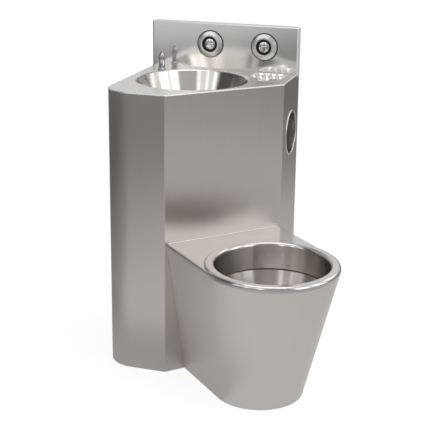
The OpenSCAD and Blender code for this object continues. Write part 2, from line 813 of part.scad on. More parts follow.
module basin_waste() placed() color("silver") translate([basin_x, -basin_y, basin_floor_z]) difference() {
    union() {
        cylinder(r = waste_flange_r, h = waste_flange_t);
        translate([0, 0, -waste_l]) cylinder(r = waste_r, h = waste_l);
    }
    translate([0, 0, -waste_l - cut]) cylinder(r = waste_r - waste_wall, h = waste_l + cut);
    translate([0, 0, -cut]) cylinder(r = grate_r, h = waste_flange_t + 2 * cut);
    for (a = [0 : 60 : 300]) rotate(a) translate([waste_r - waste_wall - 2 * grate_r + cut, 0, -cut])
        cylinder(r = grate_r, h = waste_flange_t + 2 * cut);
}

module waste_washer() placed() color("dimgray")
    translate([basin_x, -basin_y, basin_floor_z - sheet - waste_washer_t])
        ring(waste_r + fit_gap, waste_flange_r - 1, waste_washer_t);

module waste_nut() placed() color("goldenrod")
    translate([basin_x, -basin_y, basin_floor_z - sheet - waste_washer_t - waste_nut_h])
        hex_nut(2 * (waste_r + waste_nut_t), waste_r + fit_gap, waste_nut_h);

module trap_nut() placed() color("silver")
    translate([basin_x, -basin_y, waste_end_z - trap_nut_drop])
        ring(max(waste_r, trap_r) + fit_gap, waste_r + trap_nut_t, trap_nut_h);

module basin_trap() placed() color("silver") translate([basin_x, -basin_y, waste_end_z])
    rotate([180, 0, 0]) bent_pipe(trap_runs, trap_r, trap_wall, trap_bend_r);

// Plan of the pan in its own frame: straight sides and a round nose
module pan_plan(reach, r) {
    translate([0, -r]) square([reach, 2 * r]);
    translate([reach, 0]) circle(r);
}

module skirt_block(i, z0, z1) {
    hull() {
        translate([0, 0, z1]) linear_extrude(0.01) pan_plan(pan_reach, skirt_r - i);
        translate([0, 0, z0]) linear_extrude(0.01) pan_plan(foot_reach, foot_r - i);
    }
}

module pan_skirt() placed() color("silver") at_pan() difference() {
    skirt_block(0, 0, rim_low_z - 0.01);
    translate([-cut, 0, 0]) skirt_block(sheet, -0.01, rim_low_z);
}

// Edge of the pan's deck, rolled on both sides, from u0 to u1 in the pan's frame
module pan_edge(u0, u1) {
    r = pan_deck_edge_r;
    z = pan_deck_z - r;
    translate([u0, -pan_r, rim_low_z]) cube([u1 - u0, 2 * pan_r, z - rim_low_z]);
    translate([u0, r - pan_r, rim_low_z]) cube([u1 - u0, 2 * (pan_r - r), pan_deck_z - rim_low_z]);
    for (v = [r - pan_r, pan_r - r]) rod([u0, v, z], [u1, v, z], r);
}

module pan_deck() placed() color("gainsboro") at_pan() {
    difference() {
        pan_edge(0, pan_reach - shoulder_l);
        translate([-cut, sheet - pan_r, rim_low_z - cut])
            cube([pan_reach, 2 * (pan_r - sheet), pan_deck_z - sheet - rim_low_z + cut]);
        translate([pan_reach, 0, rim_low_z - cut])
            cylinder(r = pan_r + fit_gap, h = pan_edge_h + 2 * cut);
    }
    difference() {
        translate([0, pan_deck_edge_r - pan_r, pan_deck_z - sheet])
            cube([cove_r, 2 * (pan_r - pan_deck_edge_r), cove_r + sheet]);
        translate([cove_r, -pan_r, pan_deck_z + cove_r])
            rotate([-90, 0, 0]) cylinder(r = cove_r, h = 2 * pan_r);
    }
}

module seat_ring() placed() color("gainsboro") at_pan_centre() {
    in_c = opening_r + ring_roll_r;
    out_c = pan_r - ring_roll_r;
    rotate_extrude() {
        strip(pan_r - sheet, sheet, rim_low_z, roll_c_z);
        arc_band([out_c, roll_c_z], ring_roll_r - sheet, ring_roll_r, 0, 90);
        strip(in_c, out_c - in_c, rim_z - sheet, rim_z);
        arc_band([in_c, roll_c_z], ring_roll_r - sheet, ring_roll_r, 90, 180);
        strip(opening_r, sheet, rim_low_z, roll_c_z);
    }
    for (side = [0, 1]) mirror([0, side, 0]) intersection() {
        pan_edge(fit_gap - shoulder_l, 0);
        translate([-shoulder_l, pan_r - shoulder_t, rim_low_z])
            cube([shoulder_l, shoulder_t, pan_edge_h + cut]);
    }
}

module flushing_rim() placed() color("silver") at_pan_centre() translate([0, 0, flush_low_z])
    ring(opening_r, opening_r + sheet, rim_low_z - flush_low_z);

module pan_bowl() placed() color("whitesmoke") at_pan_centre() difference() {
    rotate_extrude() {
        out = [cos(pan_taper), -sin(pan_taper)];
        low = pan_bend_start - lap * [sin(pan_taper), cos(pan_taper)];
        polygon([
            [pan_bowl_r, rim_z - sheet],
            [pan_bowl_r, pan_wall_z],
            low + lap_step * out,
            low + (sheet - lap_step) * out,
            [pan_bowl_r + sheet, pan_wall_z - sheet * tan(pan_taper / 2)],
            [pan_bowl_r + sheet, rim_z - sheet]]);
        arc_band(pan_bend_c, pan_bend_r, pan_bend_r + sheet, -pan_cone_a, -pan_taper);
        slant(pan_bend_c, pan_bend_r, -pan_cone_a, (pan_bend_end[0] - throat_top_r) / sin(pan_cone_a));
        arc_band([throat_c_r, throat_c_z], throat_fillet_r - sheet, throat_fillet_r,
            180 - pan_cone_a, 180);
        strip(throat_bore_r, soil_wall, throat_z, throat_c_z);
    }
    translate([-pan_bowl_r - 4 * sheet, 0, flush_in_z])
        rotate([0, 90, 0]) cylinder(r = flush_r + cut, h = 8 * sheet);
}

module gusset(side) placed() color("darkgray") at_pan() {
    top = pan_deck_z - sheet;
    translate([0, side * (pan_r - gusset_in) + gusset_t / 2, 0]) rotate([90, 0, 0])
        linear_extrude(gusset_t) polygon([
            [0, top],
            [gusset_l, top],
            [gusset_l, top - gusset_end_h],
            [gusset_end_l, top - gusset_h],
            [0, top - gusset_h]]);
}

module left_gusset() gusset(-1);
module right_gusset() gusset(1);

module soil_pipe() placed() color("silver") {
    at_pan_centre() translate([0, 0, throat_z])
        rotate([180, 0, 0]) bent_pipe(soil_pan_runs, soil_r, soil_wall, soil_bend_r);
    translate([soil_x, soil_joint_y, soil_z]) rotate([-90, 0, 0]) {
        coupling(soil_r, soil_wall);
        translate([0, 0, joint_gap]) ring(soil_r - soil_wall, soil_r, -soil_joint_y - joint_gap);
    }
}

module flush_pipe() placed() color("silver") {
    at_pan() translate([flush_end_u, 0, flush_in_z])
        rotate([0, -90, 0]) bent_pipe(flush_pan_runs, flush_r, flush_wall_t, flush_bend_r);
    translate([flush_x, flush_joint_y, flush_in_z]) rotate([-90, 0, 0]) {
        coupling(flush_r, flush_wall_t);
        translate([0, 0, joint_gap]) bent_pipe(flush_valve_runs, flush_r, flush_wall_t, flush_bend_r);
    }
}

// Rubber sleeve that seals the flush pipe against the pan bowl
module flush_pipe_seal() placed() color("dimgray") at_pan_centre() difference() {
    wall_r = pan_bowl_r + sheet + fit_gap;
    translate([-wall_r - seal_out, 0, flush_in_z])
        rotate([0, 90, 0]) ring(flush_r + fit_gap, flush_r + seal_t, seal_l);
    translate([0, 0, flush_in_z - 2 * flush_r]) cylinder(r = wall_r, h = 4 * flush_r);
}

// Air worked valve standing on its outlet or under it, with its inlet facing the wall
module valve_body(x, y, z, r, h, line_z, inlet_r, inlet_y) {
    translate([x, y, 0]) {
        translate([0, 0, z]) cylinder(r = r, h = h);
        translate([0, 0, z + h]) cylinder(r = r - valve_cap_in, h = valve_cap_h);
    }
    wall_pipe(x, line_z, inlet_y, y, inlet_r + inlet_t, inlet_r - pipe_wall);
}

module flush_valve() placed() color("darkgray") {
    valve_body(flush_x, -flush_y, flush_valve_z, flush_valve_r, flush_valve_h, flush_line_z,
        flush_supply_r, flush_inlet_y);
    translate([flush_x, -flush_y, flush_valve_z - valve_collar_h])
        cylinder(r = flush_r + valve_cap_in, h = valve_collar_h);
    translate([flush_x, -flush_y, flush_valve_z + flush_valve_h + valve_cap_h])
        cylinder(r = nipple_r, h = nipple_l);
}

module tap_valve() placed() color("darkgray") {
    valve_body(spout_x, -spout_y, tap_valve_z, tap_valve_r, tap_valve_h, tap_line_z,
        tap_supply_r, isolator_end_y);
    translate([spout_x, -spout_y, tap_air_z])
        rotate([0, 90, 0]) cylinder(r = nipple_r, h = tap_valve_r + nipple_l);
}

module flush_supply_pipe() placed() color("peru")
    wall_pipe(flush_x, flush_line_z, 0, isolator_start_y,
        flush_supply_r, flush_supply_r - pipe_wall);

module flush_link_pipe() placed() color("peru")
    wall_pipe(flush_x, flush_line_z, isolator_end_y, flush_inlet_y,
        flush_supply_r, flush_supply_r - pipe_wall);

module tap_supply_pipe() placed() color("peru")
    wall_pipe(spout_x, tap_line_z, 0, isolator_start_y, tap_supply_r, tap_supply_r - pipe_wall);

// Frame of an isolating valve: its ball at the origin, the pipe along Y, the stem towards +X
module at_isolator(x, z) {
    placed() translate([x, -isolator_y, z]) children();
}

ball_flat = 9;

module isolator_body(x, z, bore_r) at_isolator(x, z) color("goldenrod") difference() {
    union() {
        rotate([90, 0, 0]) cylinder(r = isolator_r, h = isolator_l, center = true);
        rotate([0, 90, 0]) cylinder(r = isolator_stem_r + hub_t, h = isolator_boss_l);
    }
    rotate([90, 0, 0]) sphere(ball_r + seat_gap);
    rotate([90, 0, 0]) cylinder(r = bore_r, h = isolator_l + 2 * cut, center = true);
    rotate([0, 90, 0]) cylinder(r = isolator_stem_r + run_gap, h = isolator_boss_l + cut);
}

module isolator_ball(x, z, bore_r) at_isolator(x, z) color("whitesmoke") difference() {
    rotate([90, 0, 0]) sphere(ball_r);
    rotate([90, 0, 0]) cylinder(r = bore_r, h = 3 * ball_r, center = true);
    translate([ball_flat, -ball_r, -ball_r]) cube(2 * ball_r);
}

module isolator_lever(x, z, tint) at_isolator(x, z) color(tint) {
    hub = isolator_boss_l + seat_gap;
    stem_x = ball_flat + seat_gap;
    translate([stem_x, 0, 0]) rotate([0, 90, 0]) cylinder(r = isolator_stem_r, h = hub + hub_t - stem_x);
    translate([hub, 0, 0]) rotate([0, 90, 0]) cylinder(r = isolator_stem_r + hub_t, h = hub_t);
    translate([hub, lever_w / 2 - lever_l, -lever_w / 2]) cube([lever_t, lever_l - lever_w / 2, lever_w]);
    translate([hub, lever_w / 2 - lever_l, 0]) rotate([0, 90, 0]) cylinder(r = lever_w / 2, h = lever_t);
}

module flush_isolator_body() isolator_body(flush_x, flush_line_z, flush_bore_r);
module flush_isolator_ball() isolator_ball(flush_x, flush_line_z, flush_bore_r);
module flush_isolator_lever() isolator_lever(flush_x, flush_line_z, "firebrick");
module tap_isolator_body() isolator_body(spout_x, tap_line_z, tap_bore_r);
module tap_isolator_ball() isolator_ball(spout_x, tap_line_z, tap_bore_r);
module tap_isolator_lever() isolator_lever(spout_x, tap_line_z, "firebrick");

module air_tube(x, runs) placed() color("royalblue") translate([x, air_y, air_top_z])
    rotate([180, 0, 0]) bent_pipe(runs, air_r, air_r - air_bore_r, air_bend_r);

module flush_air_tube() air_tube(flush_button_x, flush_air_runs);
module tap_air_tube() air_tube(tap_button_x, tap_air_runs);

module wall_rail(z) placed() color("darkgray") difference() {
    translate([sheet, -sheet - rail_t, z - rail_h / 2]) cube([cabinet_w - 2 * sheet, rail_t, rail_h]);
    for (side = [-1, 1]) translate([(cabinet_w + side * wall_holes_w) / 2, 0, z])
        rotate([90, 0, 0]) cylinder(r = wall_hole_r, h = sheet + rail_t + cut);
}

module upper_wall_rail() wall_rail(upper_rail_z);
module lower_wall_rail() wall_rail(lower_rail_z);

module floor_bracket() color("darkgray") {
    translate([sheet, -floor_hole_y - bracket_leg / 2, 0]) difference() {
        union() {
            cube([bracket_leg, bracket_leg, rail_t]);
            cube([rail_t, bracket_leg, bracket_leg]);
        }
        translate([floor_hole_in - sheet, bracket_leg / 2, -cut])
            cylinder(r = floor_hole_r, h = rail_t + 2 * cut);
    }
}

module left_floor_bracket() placed() floor_bracket();
module right_floor_bracket() placed() translate([cabinet_w, 0, 0]) mirror([1, 0, 0]) floor_bracket();

left_panel();
front_panel();
right_panel();
basin_deck();
splashback();
basin_bowl();
soap_dish();
roll_holder();
spout();
spout_washer();
spout_nut();
spout_tail();
tap_button_bezel();
tap_button();
tap_button_gasket();
tap_button_housing();
tap_button_nut();
tap_button_spring();
flush_button_bezel();
flush_button();
flush_button_gasket();
flush_button_housing();
flush_button_nut();
flush_button_spring();
basin_waste();
waste_washer();
waste_nut();
trap_nut();
basin_trap();
pan_deck();
seat_ring();
flushing_rim();
pan_bowl();
pan_skirt();
left_gusset();
right_gusset();
soil_pipe();
flush_pipe();
flush_pipe_seal();
flush_valve();
tap_valve();
flush_supply_pipe();
flush_link_pipe();
tap_supply_pipe();
flush_isolator_body();
flush_isolator_ball();
flush_isolator_lever();
tap_isolator_body();
tap_isolator_ball();
tap_isolator_lever();
flush_air_tube();
tap_air_tube();
upper_wall_rail();
lower_wall_rail();
left_floor_bracket();
right_floor_bracket();
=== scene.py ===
"""Toilet and basin combination unit in stainless steel: the dressed model, its light and camera.

The pieces are built in millimetres in the construction frame: x to the right from the left end of
the wall line, y towards the wall and z up. at() and at_pan() turn that into the shared frame.
"""

import math
from collections import Counter

import bpy
from mathutils import Matrix, Vector
from mathutils.geometry import delaunay_2d_cdt


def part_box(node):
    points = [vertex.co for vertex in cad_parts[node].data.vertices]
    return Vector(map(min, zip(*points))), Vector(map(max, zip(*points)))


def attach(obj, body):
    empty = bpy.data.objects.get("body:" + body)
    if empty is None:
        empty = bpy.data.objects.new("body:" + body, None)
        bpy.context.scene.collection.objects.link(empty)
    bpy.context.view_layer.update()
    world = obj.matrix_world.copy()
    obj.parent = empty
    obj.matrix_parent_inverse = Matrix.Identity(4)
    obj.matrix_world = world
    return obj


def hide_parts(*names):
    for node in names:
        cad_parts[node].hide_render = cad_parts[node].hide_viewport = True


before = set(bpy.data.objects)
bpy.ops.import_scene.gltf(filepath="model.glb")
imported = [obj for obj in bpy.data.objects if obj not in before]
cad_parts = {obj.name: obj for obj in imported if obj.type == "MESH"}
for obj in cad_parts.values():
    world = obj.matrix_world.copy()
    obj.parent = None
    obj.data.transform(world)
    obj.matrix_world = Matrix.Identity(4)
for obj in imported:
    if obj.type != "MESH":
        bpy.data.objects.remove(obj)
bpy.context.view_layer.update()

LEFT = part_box("left_panel")[0].x
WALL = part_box("splashback")[1].y
DIAGONAL = math.sqrt(0.5)

# Cabinet, with its right front corner cut off at 45 degrees
CABINET_W, CABINET_D, CHAMFER = 480.0, 480.0, 280.0
RIGHT_D = CABINET_D - CHAMFER
FRONT_MID = (CABINET_W - CHAMFER / 2, CHAMFER / 2 - CABINET_D)
CORNER_R, FOLD_R, SHEET, WALL_FLANGE = 90.0, 4.0, 2.0, 25.0
PANEL_H, DECK_Z = 845.0, 855.0
SPLASH_Y, SPLASH_TOP = -30.0, 1000.0

# Basin: centre, radius at the deck, and its section down to the waste
BASIN, BASIN_OUT_R = (197.0, -222.0), 176.0
BASIN_RIM_R, BASIN_TAPER, BASIN_WALL_H = 9.0, 24, 89.5
BASIN_BEND_R, BASIN_FALL, WASTE_R = 50.0, 5, 34

# Soap dish: a rounded tray with a tongue towards the front
DISH_X, DISH_Y, DISH_HALF_W, DISH_HALF_D, DISH_R = 402, -85, 52, 41, 14
TONGUE_Y, TONGUE_HALF_W, TONGUE_HALF_L = -131.5, 18, 46.5
DISH_DEPTH, DISH_EDGE, TONGUE_RISE, TONGUE_RISE_L = 5.0, 7.0, 0.6, 40
RIB_COUNT, RIB_STEP, RIB_HALF_L, RIB_HALF_W, RIB_H, RIB_CROWN = 5, 20.5, 24.5, 7.2, 8.5, 0.8

ROLL_Y, ROLL_Z, ROLL_R, ROLL_DEPTH = -98.0, 685.0, 64.0, 112.0
ROLL_LIP_R, ROLL_BEND_R, ROLL_HOLE_GAP = 3.2, 6.0, 3.0
TAP = (54.0, -94.0)
BUTTON_X = {"tap_button": 195.0, "flush_button": 372.0}
BUTTON_Z, BUTTON_HOLE_R = 935.0, 21.3

# Pan: u is the distance of its centre from the front face
PAN_U, PAN_R, OPENING_R = 281.0, 192.0, 162.0
PAN_DECK_Z, RIM_Z, RIM_LOW_Z, FLUSH_LOW_Z = 411.0, 417.0, 401.0, 338.0
PAN_BACK_U, DECK_EDGE_R, RIM_ROLL_R, FLUSH_GAP = 0.3, 5.0, 10.0, 2.5
BOWL_R, BOWL_TAPER, BOWL_BEND_Z, BOWL_BEND_R, BOWL_CONE = 172.0, 18.0, 270.0, 100.0, 60.0
THROAT_R, THROAT_BEND_R, THROAT_LOW_Z = 49, 25, 150
FOOT_U, FOOT_R = 220.0, 132.0
SOIL_Z, SOIL_HOLE_R, FLUSH_Z, FLUSH_HOLE_R = 232, 54, 372, 18


def at(x, y, z):
    """A point of the construction frame, in the shared frame."""
    return Vector((LEFT + x / 1000, WALL + y / 1000, z / 1000))


def at_pan(u, v, z):
    """A point of the pan's own frame: u outwards from the front face, v to its right."""
    return at(FRONT_MID[0] + DIAGONAL * (u + v), FRONT_MID[1] + DIAGONAL * (v - u), z)


def round_pan(x, y, z):
    """A point near the pan's own upright axis."""
    return at_pan(PAN_U + x, y, z)


def arc(cx, cy, r, a, b, n):
    """Points of an arc from a to b degrees, both ends included."""
    angles = [math.radians(a + (b - a) * i / n) for i in range(n + 1)]
    return [(cx + r * math.cos(t), cy + r * math.sin(t)) for t in angles]


def circle(cx, cy, r, n=128):
    return arc(cx, cy, r, 0, 360, n)[:-1]


def make_camera():
    """The place and the angle from which the photograph was taken."""
    azimuth, pitch, roll = math.radians(16.511), math.radians(16.372), math.radians(0.789)
    right = Vector((math.cos(azimuth), math.sin(azimuth), 0))
    level = Vector((-math.sin(azimuth), math.cos(azimuth), 0))
    ahead = level * math.cos(pitch) - Vector((0, 0, math.sin(pitch)))
    up = right.cross(ahead)
    across = right * math.cos(roll) + up * math.sin(roll)
    upward = up * math.cos(roll) - right * math.sin(roll)
    camera = bpy.data.objects.new("camera", bpy.data.cameras.new("camera"))
    bpy.context.scene.collection.objects.link(camera)
    matrix = Matrix((across, upward, -ahead)).transposed().to_4x4()
    matrix.translation = at(1178, -3218, 1448)
    camera.matrix_world = matrix
    camera.data.lens = 86.04
    camera.data.sensor_width = 36
    camera.data.shift_y = -0.08
    camera.data.clip_start, camera.data.clip_end = 0.05, 60
    bpy.context.scene.camera = camera


make_camera()


# Materials
class Nodes:
    """The node tree of a material or a world, with short ways to make and join nodes."""

    def __init__(self, owner, output="ShaderNodeOutputMaterial"):
        owner.use_nodes = True
        self.owner = owner
        self.tree = owner.node_tree
        self.tree.nodes.clear()
        self.out = self.add(output)

    def add(self, kind, **values):
        node = self.tree.nodes.new(kind)
        for key, value in values.items():
            setattr(node, key, value)
        return node

    def link(self, a, b):
        self.tree.links.new(a, b)

    def coords(self, scale):
        tex = self.add("ShaderNodeTexCoord")
        mapping = self.add("ShaderNodeMapping")
        mapping.inputs["Scale"].default_value = scale
        self.link(tex.outputs["Object"], mapping.inputs["Vector"])
        return mapping.outputs["Vector"]

    def noise(self, scale, detail=4.0, roughness=0.55):
        """Noise with its own scale along x, y and z."""
        node = self.add("ShaderNodeTexNoise")
        node.inputs["Scale"].default_value = 1.0
        node.inputs["Detail"].default_value = detail
        node.inputs["Roughness"].default_value = roughness
        self.link(self.coords(scale), node.inputs["Vector"])
        return node.outputs["Fac"]

    def span(self, value, a, b, c, d):
        """value from a..b mapped to c..d."""
        node = self.add("ShaderNodeMapRange")
        for socket, v in zip(("From Min", "From Max", "To Min", "To Max"), (a, b, c, d)):
            node.inputs[socket].default_value = v
        self.link(value, node.inputs["Value"])
        return node.outputs["Result"]

    def math(self, operation, a, b):
        node = self.add("ShaderNodeMath", operation=operation)
        for i, v in enumerate((a, b)):
            if isinstance(v, (int, float)):
                node.inputs[i].default_value = v
            else:
                self.link(v, node.inputs[i])
        return node.outputs[0]

    def distance(self, point):
        """Distance of the shaded place from a point."""
        node = self.add("ShaderNodeVectorMath", operation="DISTANCE")
        node.inputs[1].default_value = point
        self.link(self.add("ShaderNodeNewGeometry").outputs["Position"], node.inputs[0])
        return node.outputs["Value"]

    def bump(self, height, strength, distance, normal=None):
        node = self.add("ShaderNodeBump")
        node.inputs["Strength"].default_value = strength
        node.inputs["Distance"].default_value = distance
        self.link(height, node.inputs["Height"])
        if normal is not None:
            self.link(normal, node.inputs["Normal"])
        return node.outputs["Normal"]

    def tint(self, fac, color, dark, light):
        """The colour between its dark and its light share."""
        node = self.add("ShaderNodeMix", data_type="RGBA")
        self.link(fac, node.inputs["Factor"])
        node.inputs["A"].default_value = (*(c * dark for c in color), 1)
        node.inputs["B"].default_value = (*(c * light for c in color), 1)
        return node.outputs["Result"]

    def principled(self, metallic=0.0, **values):
        node = self.add("ShaderNodeBsdfPrincipled")
        node.inputs["Metallic"].default_value = metallic
        for key, value in values.items():
            node.inputs[key.replace("_", " ")].default_value = value
        self.link(node.outputs["BSDF"], self.out.inputs["Surface"])
        return node

    def emission(self, strength):
        node = self.add("ShaderNodeEmission")
        node.inputs["Strength"].default_value = strength
        return node.outputs[0]

    def diffuse(self, grey):
        node = self.add("ShaderNodeBsdfDiffuse")
        node.inputs["Color"].default_value = (grey, grey, grey, 1)
        return node.outputs[0]

    def background(self, color, strength):
        node = self.add("ShaderNodeBackground")
        node.inputs["Color"].default_value = (*color, 1)
        node.inputs["Strength"].default_value = strength
        return node.outputs[0]

    def mixed(self, share, a, b):
        """Shader a mixed with b; share is how much of b, as a number or a socket."""
        node = self.add("ShaderNodeMixShader")
        if isinstance(share, float):
            node.inputs[0].default_value = share
        else:
            self.link(share, node.inputs[0])
        self.link(a, node.inputs[1])
        self.link(b, node.inputs[2])
        return node.outputs[0]

    def background_rays(self):
        """1 for rays from the camera and for mirrored and refracted ones."""
        path = self.add("ShaderNodeLightPath").outputs
        seen = self.math("MAXIMUM", path["Is Camera Ray"], path["Is Glossy Ray"])
        return self.math("MAXIMUM", seen, path["Is Transmission Ray"])


def new_material(name):
    return Nodes(bpy.data.materials.new(name))


def even(scale):
    return (scale, scale, scale)


def sheet(name, color, rough, grain, axis, anisotropy=0.0, along=False, metallic=1.0, wave=0.0,
          strength=0.08):
    """Steel sheet with a fine grain, given as noise scales. Its gleam spreads square to the normal
    and the axis, or with along set, in the plane of the two. wave makes it slightly uneven."""
    n = new_material(name)
    fine = n.noise(grain, 3.0, 0.6)
    broad = n.noise(even(2.2), 3.0, 0.5)
    bsdf = n.principled(metallic, Anisotropic=anisotropy)
    both = n.math("ADD", n.math("MULTIPLY", fine, 0.6), n.math("MULTIPLY", broad, 0.4))
    n.link(n.tint(n.span(both, 0.3, 0.7, 0.0, 1.0), color, 0.955, 1.035),
           bsdf.inputs["Base Color"])
    n.link(n.span(both, 0.3, 0.7, rough * 0.88, rough * 1.15), bsdf.inputs["Roughness"])
    normal = n.bump(fine, strength, 0.0003)
    if wave:
        normal = n.bump(n.noise((3, 3, 1.6), 1.5, 0.4), wave, 0.01, normal)
    n.link(normal, bsdf.inputs["Normal"])
    if anisotropy:
        plain = n.add("ShaderNodeNewGeometry").outputs["Normal"]
        cross = n.add("ShaderNodeVectorMath", operation="CROSS_PRODUCT")
        cross.inputs[1].default_value = axis
        n.link(plain, cross.inputs[0])
        tangent = cross.outputs["Vector"]
        if along:
            again = n.add("ShaderNodeVectorMath", operation="CROSS_PRODUCT")
            n.link(plain, again.inputs[0])
            n.link(tangent, again.inputs[1])
            tangent = again.outputs["Vector"]
        n.link(tangent, bsdf.inputs["Tangent"])
    return n.owner


def rubbery(name, color, rough, coat=0.0):
    """Rubber, plastic or paint with a fine grit."""
    n = new_material(name)
    grit = n.noise(even(220), 4.0, 0.6)
    broad = n.noise(even(12), 3.0, 0.5)
    bsdf = n.principled(0.0, Coat_Weight=coat)
    n.link(n.tint(broad, color, 0.8, 1.15), bsdf.inputs["Base Color"])
    n.link(n.span(broad, 0.35, 0.65, rough * 0.85, rough * 1.15), bsdf.inputs["Roughness"])
    n.link(n.bump(grit, 0.15, 0.0003), bsdf.inputs["Normal"])
    return n.owner


def cast(name, color, rough):
    """Cast or drawn metal with a dull, slightly grainy skin."""
    n = new_material(name)
    grit = n.noise(even(160), 5.0, 0.6)
    broad = n.noise(even(9))
    bsdf = n.principled(1.0)
    n.link(n.tint(n.span(broad, 0.3, 0.7, 0.0, 1.0), color, 0.75, 1.1),
           bsdf.inputs["Base Color"])
    n.link(n.span(broad, 0.3, 0.7, rough * 0.8, rough * 1.25), bsdf.inputs["Roughness"])
    n.link(n.bump(grit, 0.2, 0.0005), bsdf.inputs["Normal"])
    return n.owner


UP, BACK = (0, 0, 1), (0, 1, 0)
UPRIGHT, CROSSWISE, ROUND = (700, 700, 5), (500, 5, 5), (5, 5, 800)
MATERIALS = {
    # Brushed and polished sheet
    "panel": sheet("satin_panel", (0.61, 0.568, 0.54), 0.33, UPRIGHT, UP, 0.8, wave=0.03),
    "skirt": sheet("satin_skirt", (0.71, 0.67, 0.635), 0.38, UPRIGHT, UP, 0.85, wave=0.02),
    "deck": sheet("satin_deck", (0.585, 0.567, 0.552), 0.26, CROSSWISE, BACK, 0.2, metallic=0.85),
    "pan_top": sheet("bright_pan_top", (0.52, 0.502, 0.485), 0.14, even(60), UP, metallic=0.9),
    # Painted highlight: a much lighter, partly matt copy of the steel, so that the dish's ribs
    # read white
    "dish": sheet("painted_highlight_dish", (0.93, 0.915, 0.90), 0.3, even(60), UP, metallic=0.8,
                  strength=0.02),
    "splash": sheet("bright_splash", (0.82, 0.80, 0.775), 0.11, UPRIGHT, UP, metallic=0.8,
                    wave=0.02),
    # Satin of the roll holder cup; on the splashback's top fold it is painted shade, a darker copy
    # that tones down the fold's highlight
    "lip": sheet("satin_lip_and_painted_shade", (0.52, 0.50, 0.48), 0.3, ROUND, UP),
    # Darker satin steel: the own tone of the drains and the flush pipe, and painted shade on the
    # splashback's left return
    "inside": sheet("dark_satin_and_painted_shade", (0.40, 0.38, 0.37), 0.36, ROUND, UP, 0.4),
    "bowl": sheet("spun_basin", (0.68, 0.65, 0.615), 0.17, ROUND, UP, 1.0, along=True,
                  strength=0.02),
    "pan_bowl": sheet("spun_pan_bowl", (0.54, 0.51, 0.487), 0.22, ROUND, UP, 1.0, along=True,
                      strength=0.02),
    # Painted light and shade on folds and joints: a lit copy of the steel, a near-black copy and a
    # dark line
    # Painted highlight: a lighter, partly matt copy of the steel for the splashback's right return
    # and fold
    "edge": sheet("painted_highlight_edge", (0.80, 0.79, 0.78), 0.35, UPRIGHT, UP, metallic=0.4),
    # Painted shade: a near-black copy of the steel for the splashback's left front fold
    "bend": sheet("painted_shade_bend", (0.17, 0.16, 0.155), 0.4, UPRIGHT, UP),
    # Painted shade: a near-black line on the pan bowl under the flushing rim
    "gap": sheet("shadow_gap", (0.12, 0.11, 0.105), 0.5, even(60), UP),
    # Fittings
    "bezel": sheet("satin_bezel", (0.72, 0.71, 0.70), 0.3, even(300), UP),
    "chrome": sheet("chrome", (0.62, 0.62, 0.62), 0.05, (30, 30, 90), UP, strength=0.02),
    # Painted shade: a darker copy of the chrome for the tap, standing in for the darker
    # reflections round it
    "tap": sheet("painted_shade_tap_chrome", (0.40, 0.40, 0.405), 0.07, (30, 30, 90), UP, strength=0.02),
    # Black with painted shade: darker than the rubber and the plastic, for the button's seal lip
    # and its well
    "recess": rubbery("black_with_painted_shade", (0.008, 0.008, 0.008), 0.6),
    "mill": cast("mill_steel", (0.42, 0.41, 0.40), 0.42),
    "rubber": rubbery("rubber", (0.03, 0.03, 0.03), 0.6),
    "plastic": rubbery("black_plastic", (0.025, 0.025, 0.027), 0.4, 0.1),
    "brass": cast("brass", (0.72, 0.50, 0.22), 0.3),
    "copper": cast("copper", (0.75, 0.38, 0.24), 0.32),
    "casting": cast("valve_casting", (0.36, 0.36, 0.37), 0.45),
    "blue": rubbery("blue_tube", (0.04, 0.13, 0.45), 0.35, 0.2),
    "red": rubbery("red_lever", (0.45, 0.03, 0.02), 0.4, 0.2),
}


# Mesh helpers
def piece(name, verts, faces, material, slot, nodes=(), body="unit", angle=32, thick=0.0,
          weighted=False):
    """A piece of the model: thick, in millimetres, gives a sheet its thickness on its back."""
    mesh = bpy.data.meshes.new(name)
    mesh.from_pydata([tuple(v) for v in verts], [], faces)
    mesh.validate()
    mesh.update()
    mesh.shade_smooth()
    mesh.set_sharp_from_angle(angle=math.radians(angle))
    mesh.materials.append(MATERIALS[material])
    obj = bpy.data.objects.new(name, mesh)
    bpy.context.scene.collection.objects.link(obj)
    if thick:
        uses = Counter(key for polygon in mesh.polygons for key in polygon.edge_keys)
        for edge in mesh.edges:
            if uses[edge.key] == 1:
                edge.use_edge_sharp = True
        solid = obj.modifiers.new("sheet", "SOLIDIFY")
        solid.thickness = thick / 1000
        solid.offset = -1
        solid.use_even_offset = True
    if weighted:
        obj.modifiers.new("weighted", "WEIGHTED_NORMAL").keep_sharp = True
    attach(obj, body)
    if nodes:
        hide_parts(*nodes)
    return obj


def finish_where(obj, material, test):
    """Gives another finish to the faces whose centre passes the test, with a crease round them."""
    obj.data.materials.append(MATERIALS[material])
    finishes = {}
    for polygon in obj.data.polygons:
        if test(polygon.center):
            polygon.material_index = len(obj.data.materials) - 1
        for key in polygon.edge_keys:
            finishes.setdefault(key, set()).add(polygon.material_index)
    for edge in obj.data.edges:
        if len(finishes.get(edge.key, ())) > 1:
            edge.use_edge_sharp = True


def once(indices):
    """The indices without repeats, in their order."""
    return list(dict.fromkeys(indices))


def lathe(profile, place, n, closed=True):
    """Turned form: profile points (r, z) about the local Z axis; place maps a local point."""
    verts, rows = [], []
    for r, z in profile:
        if r < 1e-6:
            rows.append([len(verts)] * n)
            verts.append(place(0, 0, z))
        else:
            rows.append(range(len(verts), len(verts) + n))
            turns = [math.radians(360.0 * j / n) for j in range(n)]
            verts += [place(r * math.cos(a), r * math.sin(a), z) for a in turns]
    faces = []
    pairs = list(zip(rows, rows[1:])) + ([(rows[-1], rows[0])] if closed else [])
    for low, high in pairs:
        for j in range(n):
            k = (j + 1) % n
            face = once([low[j], low[k], high[k], high[j]])
            if len(face) > 2:
                faces.append(face)
    return verts, faces


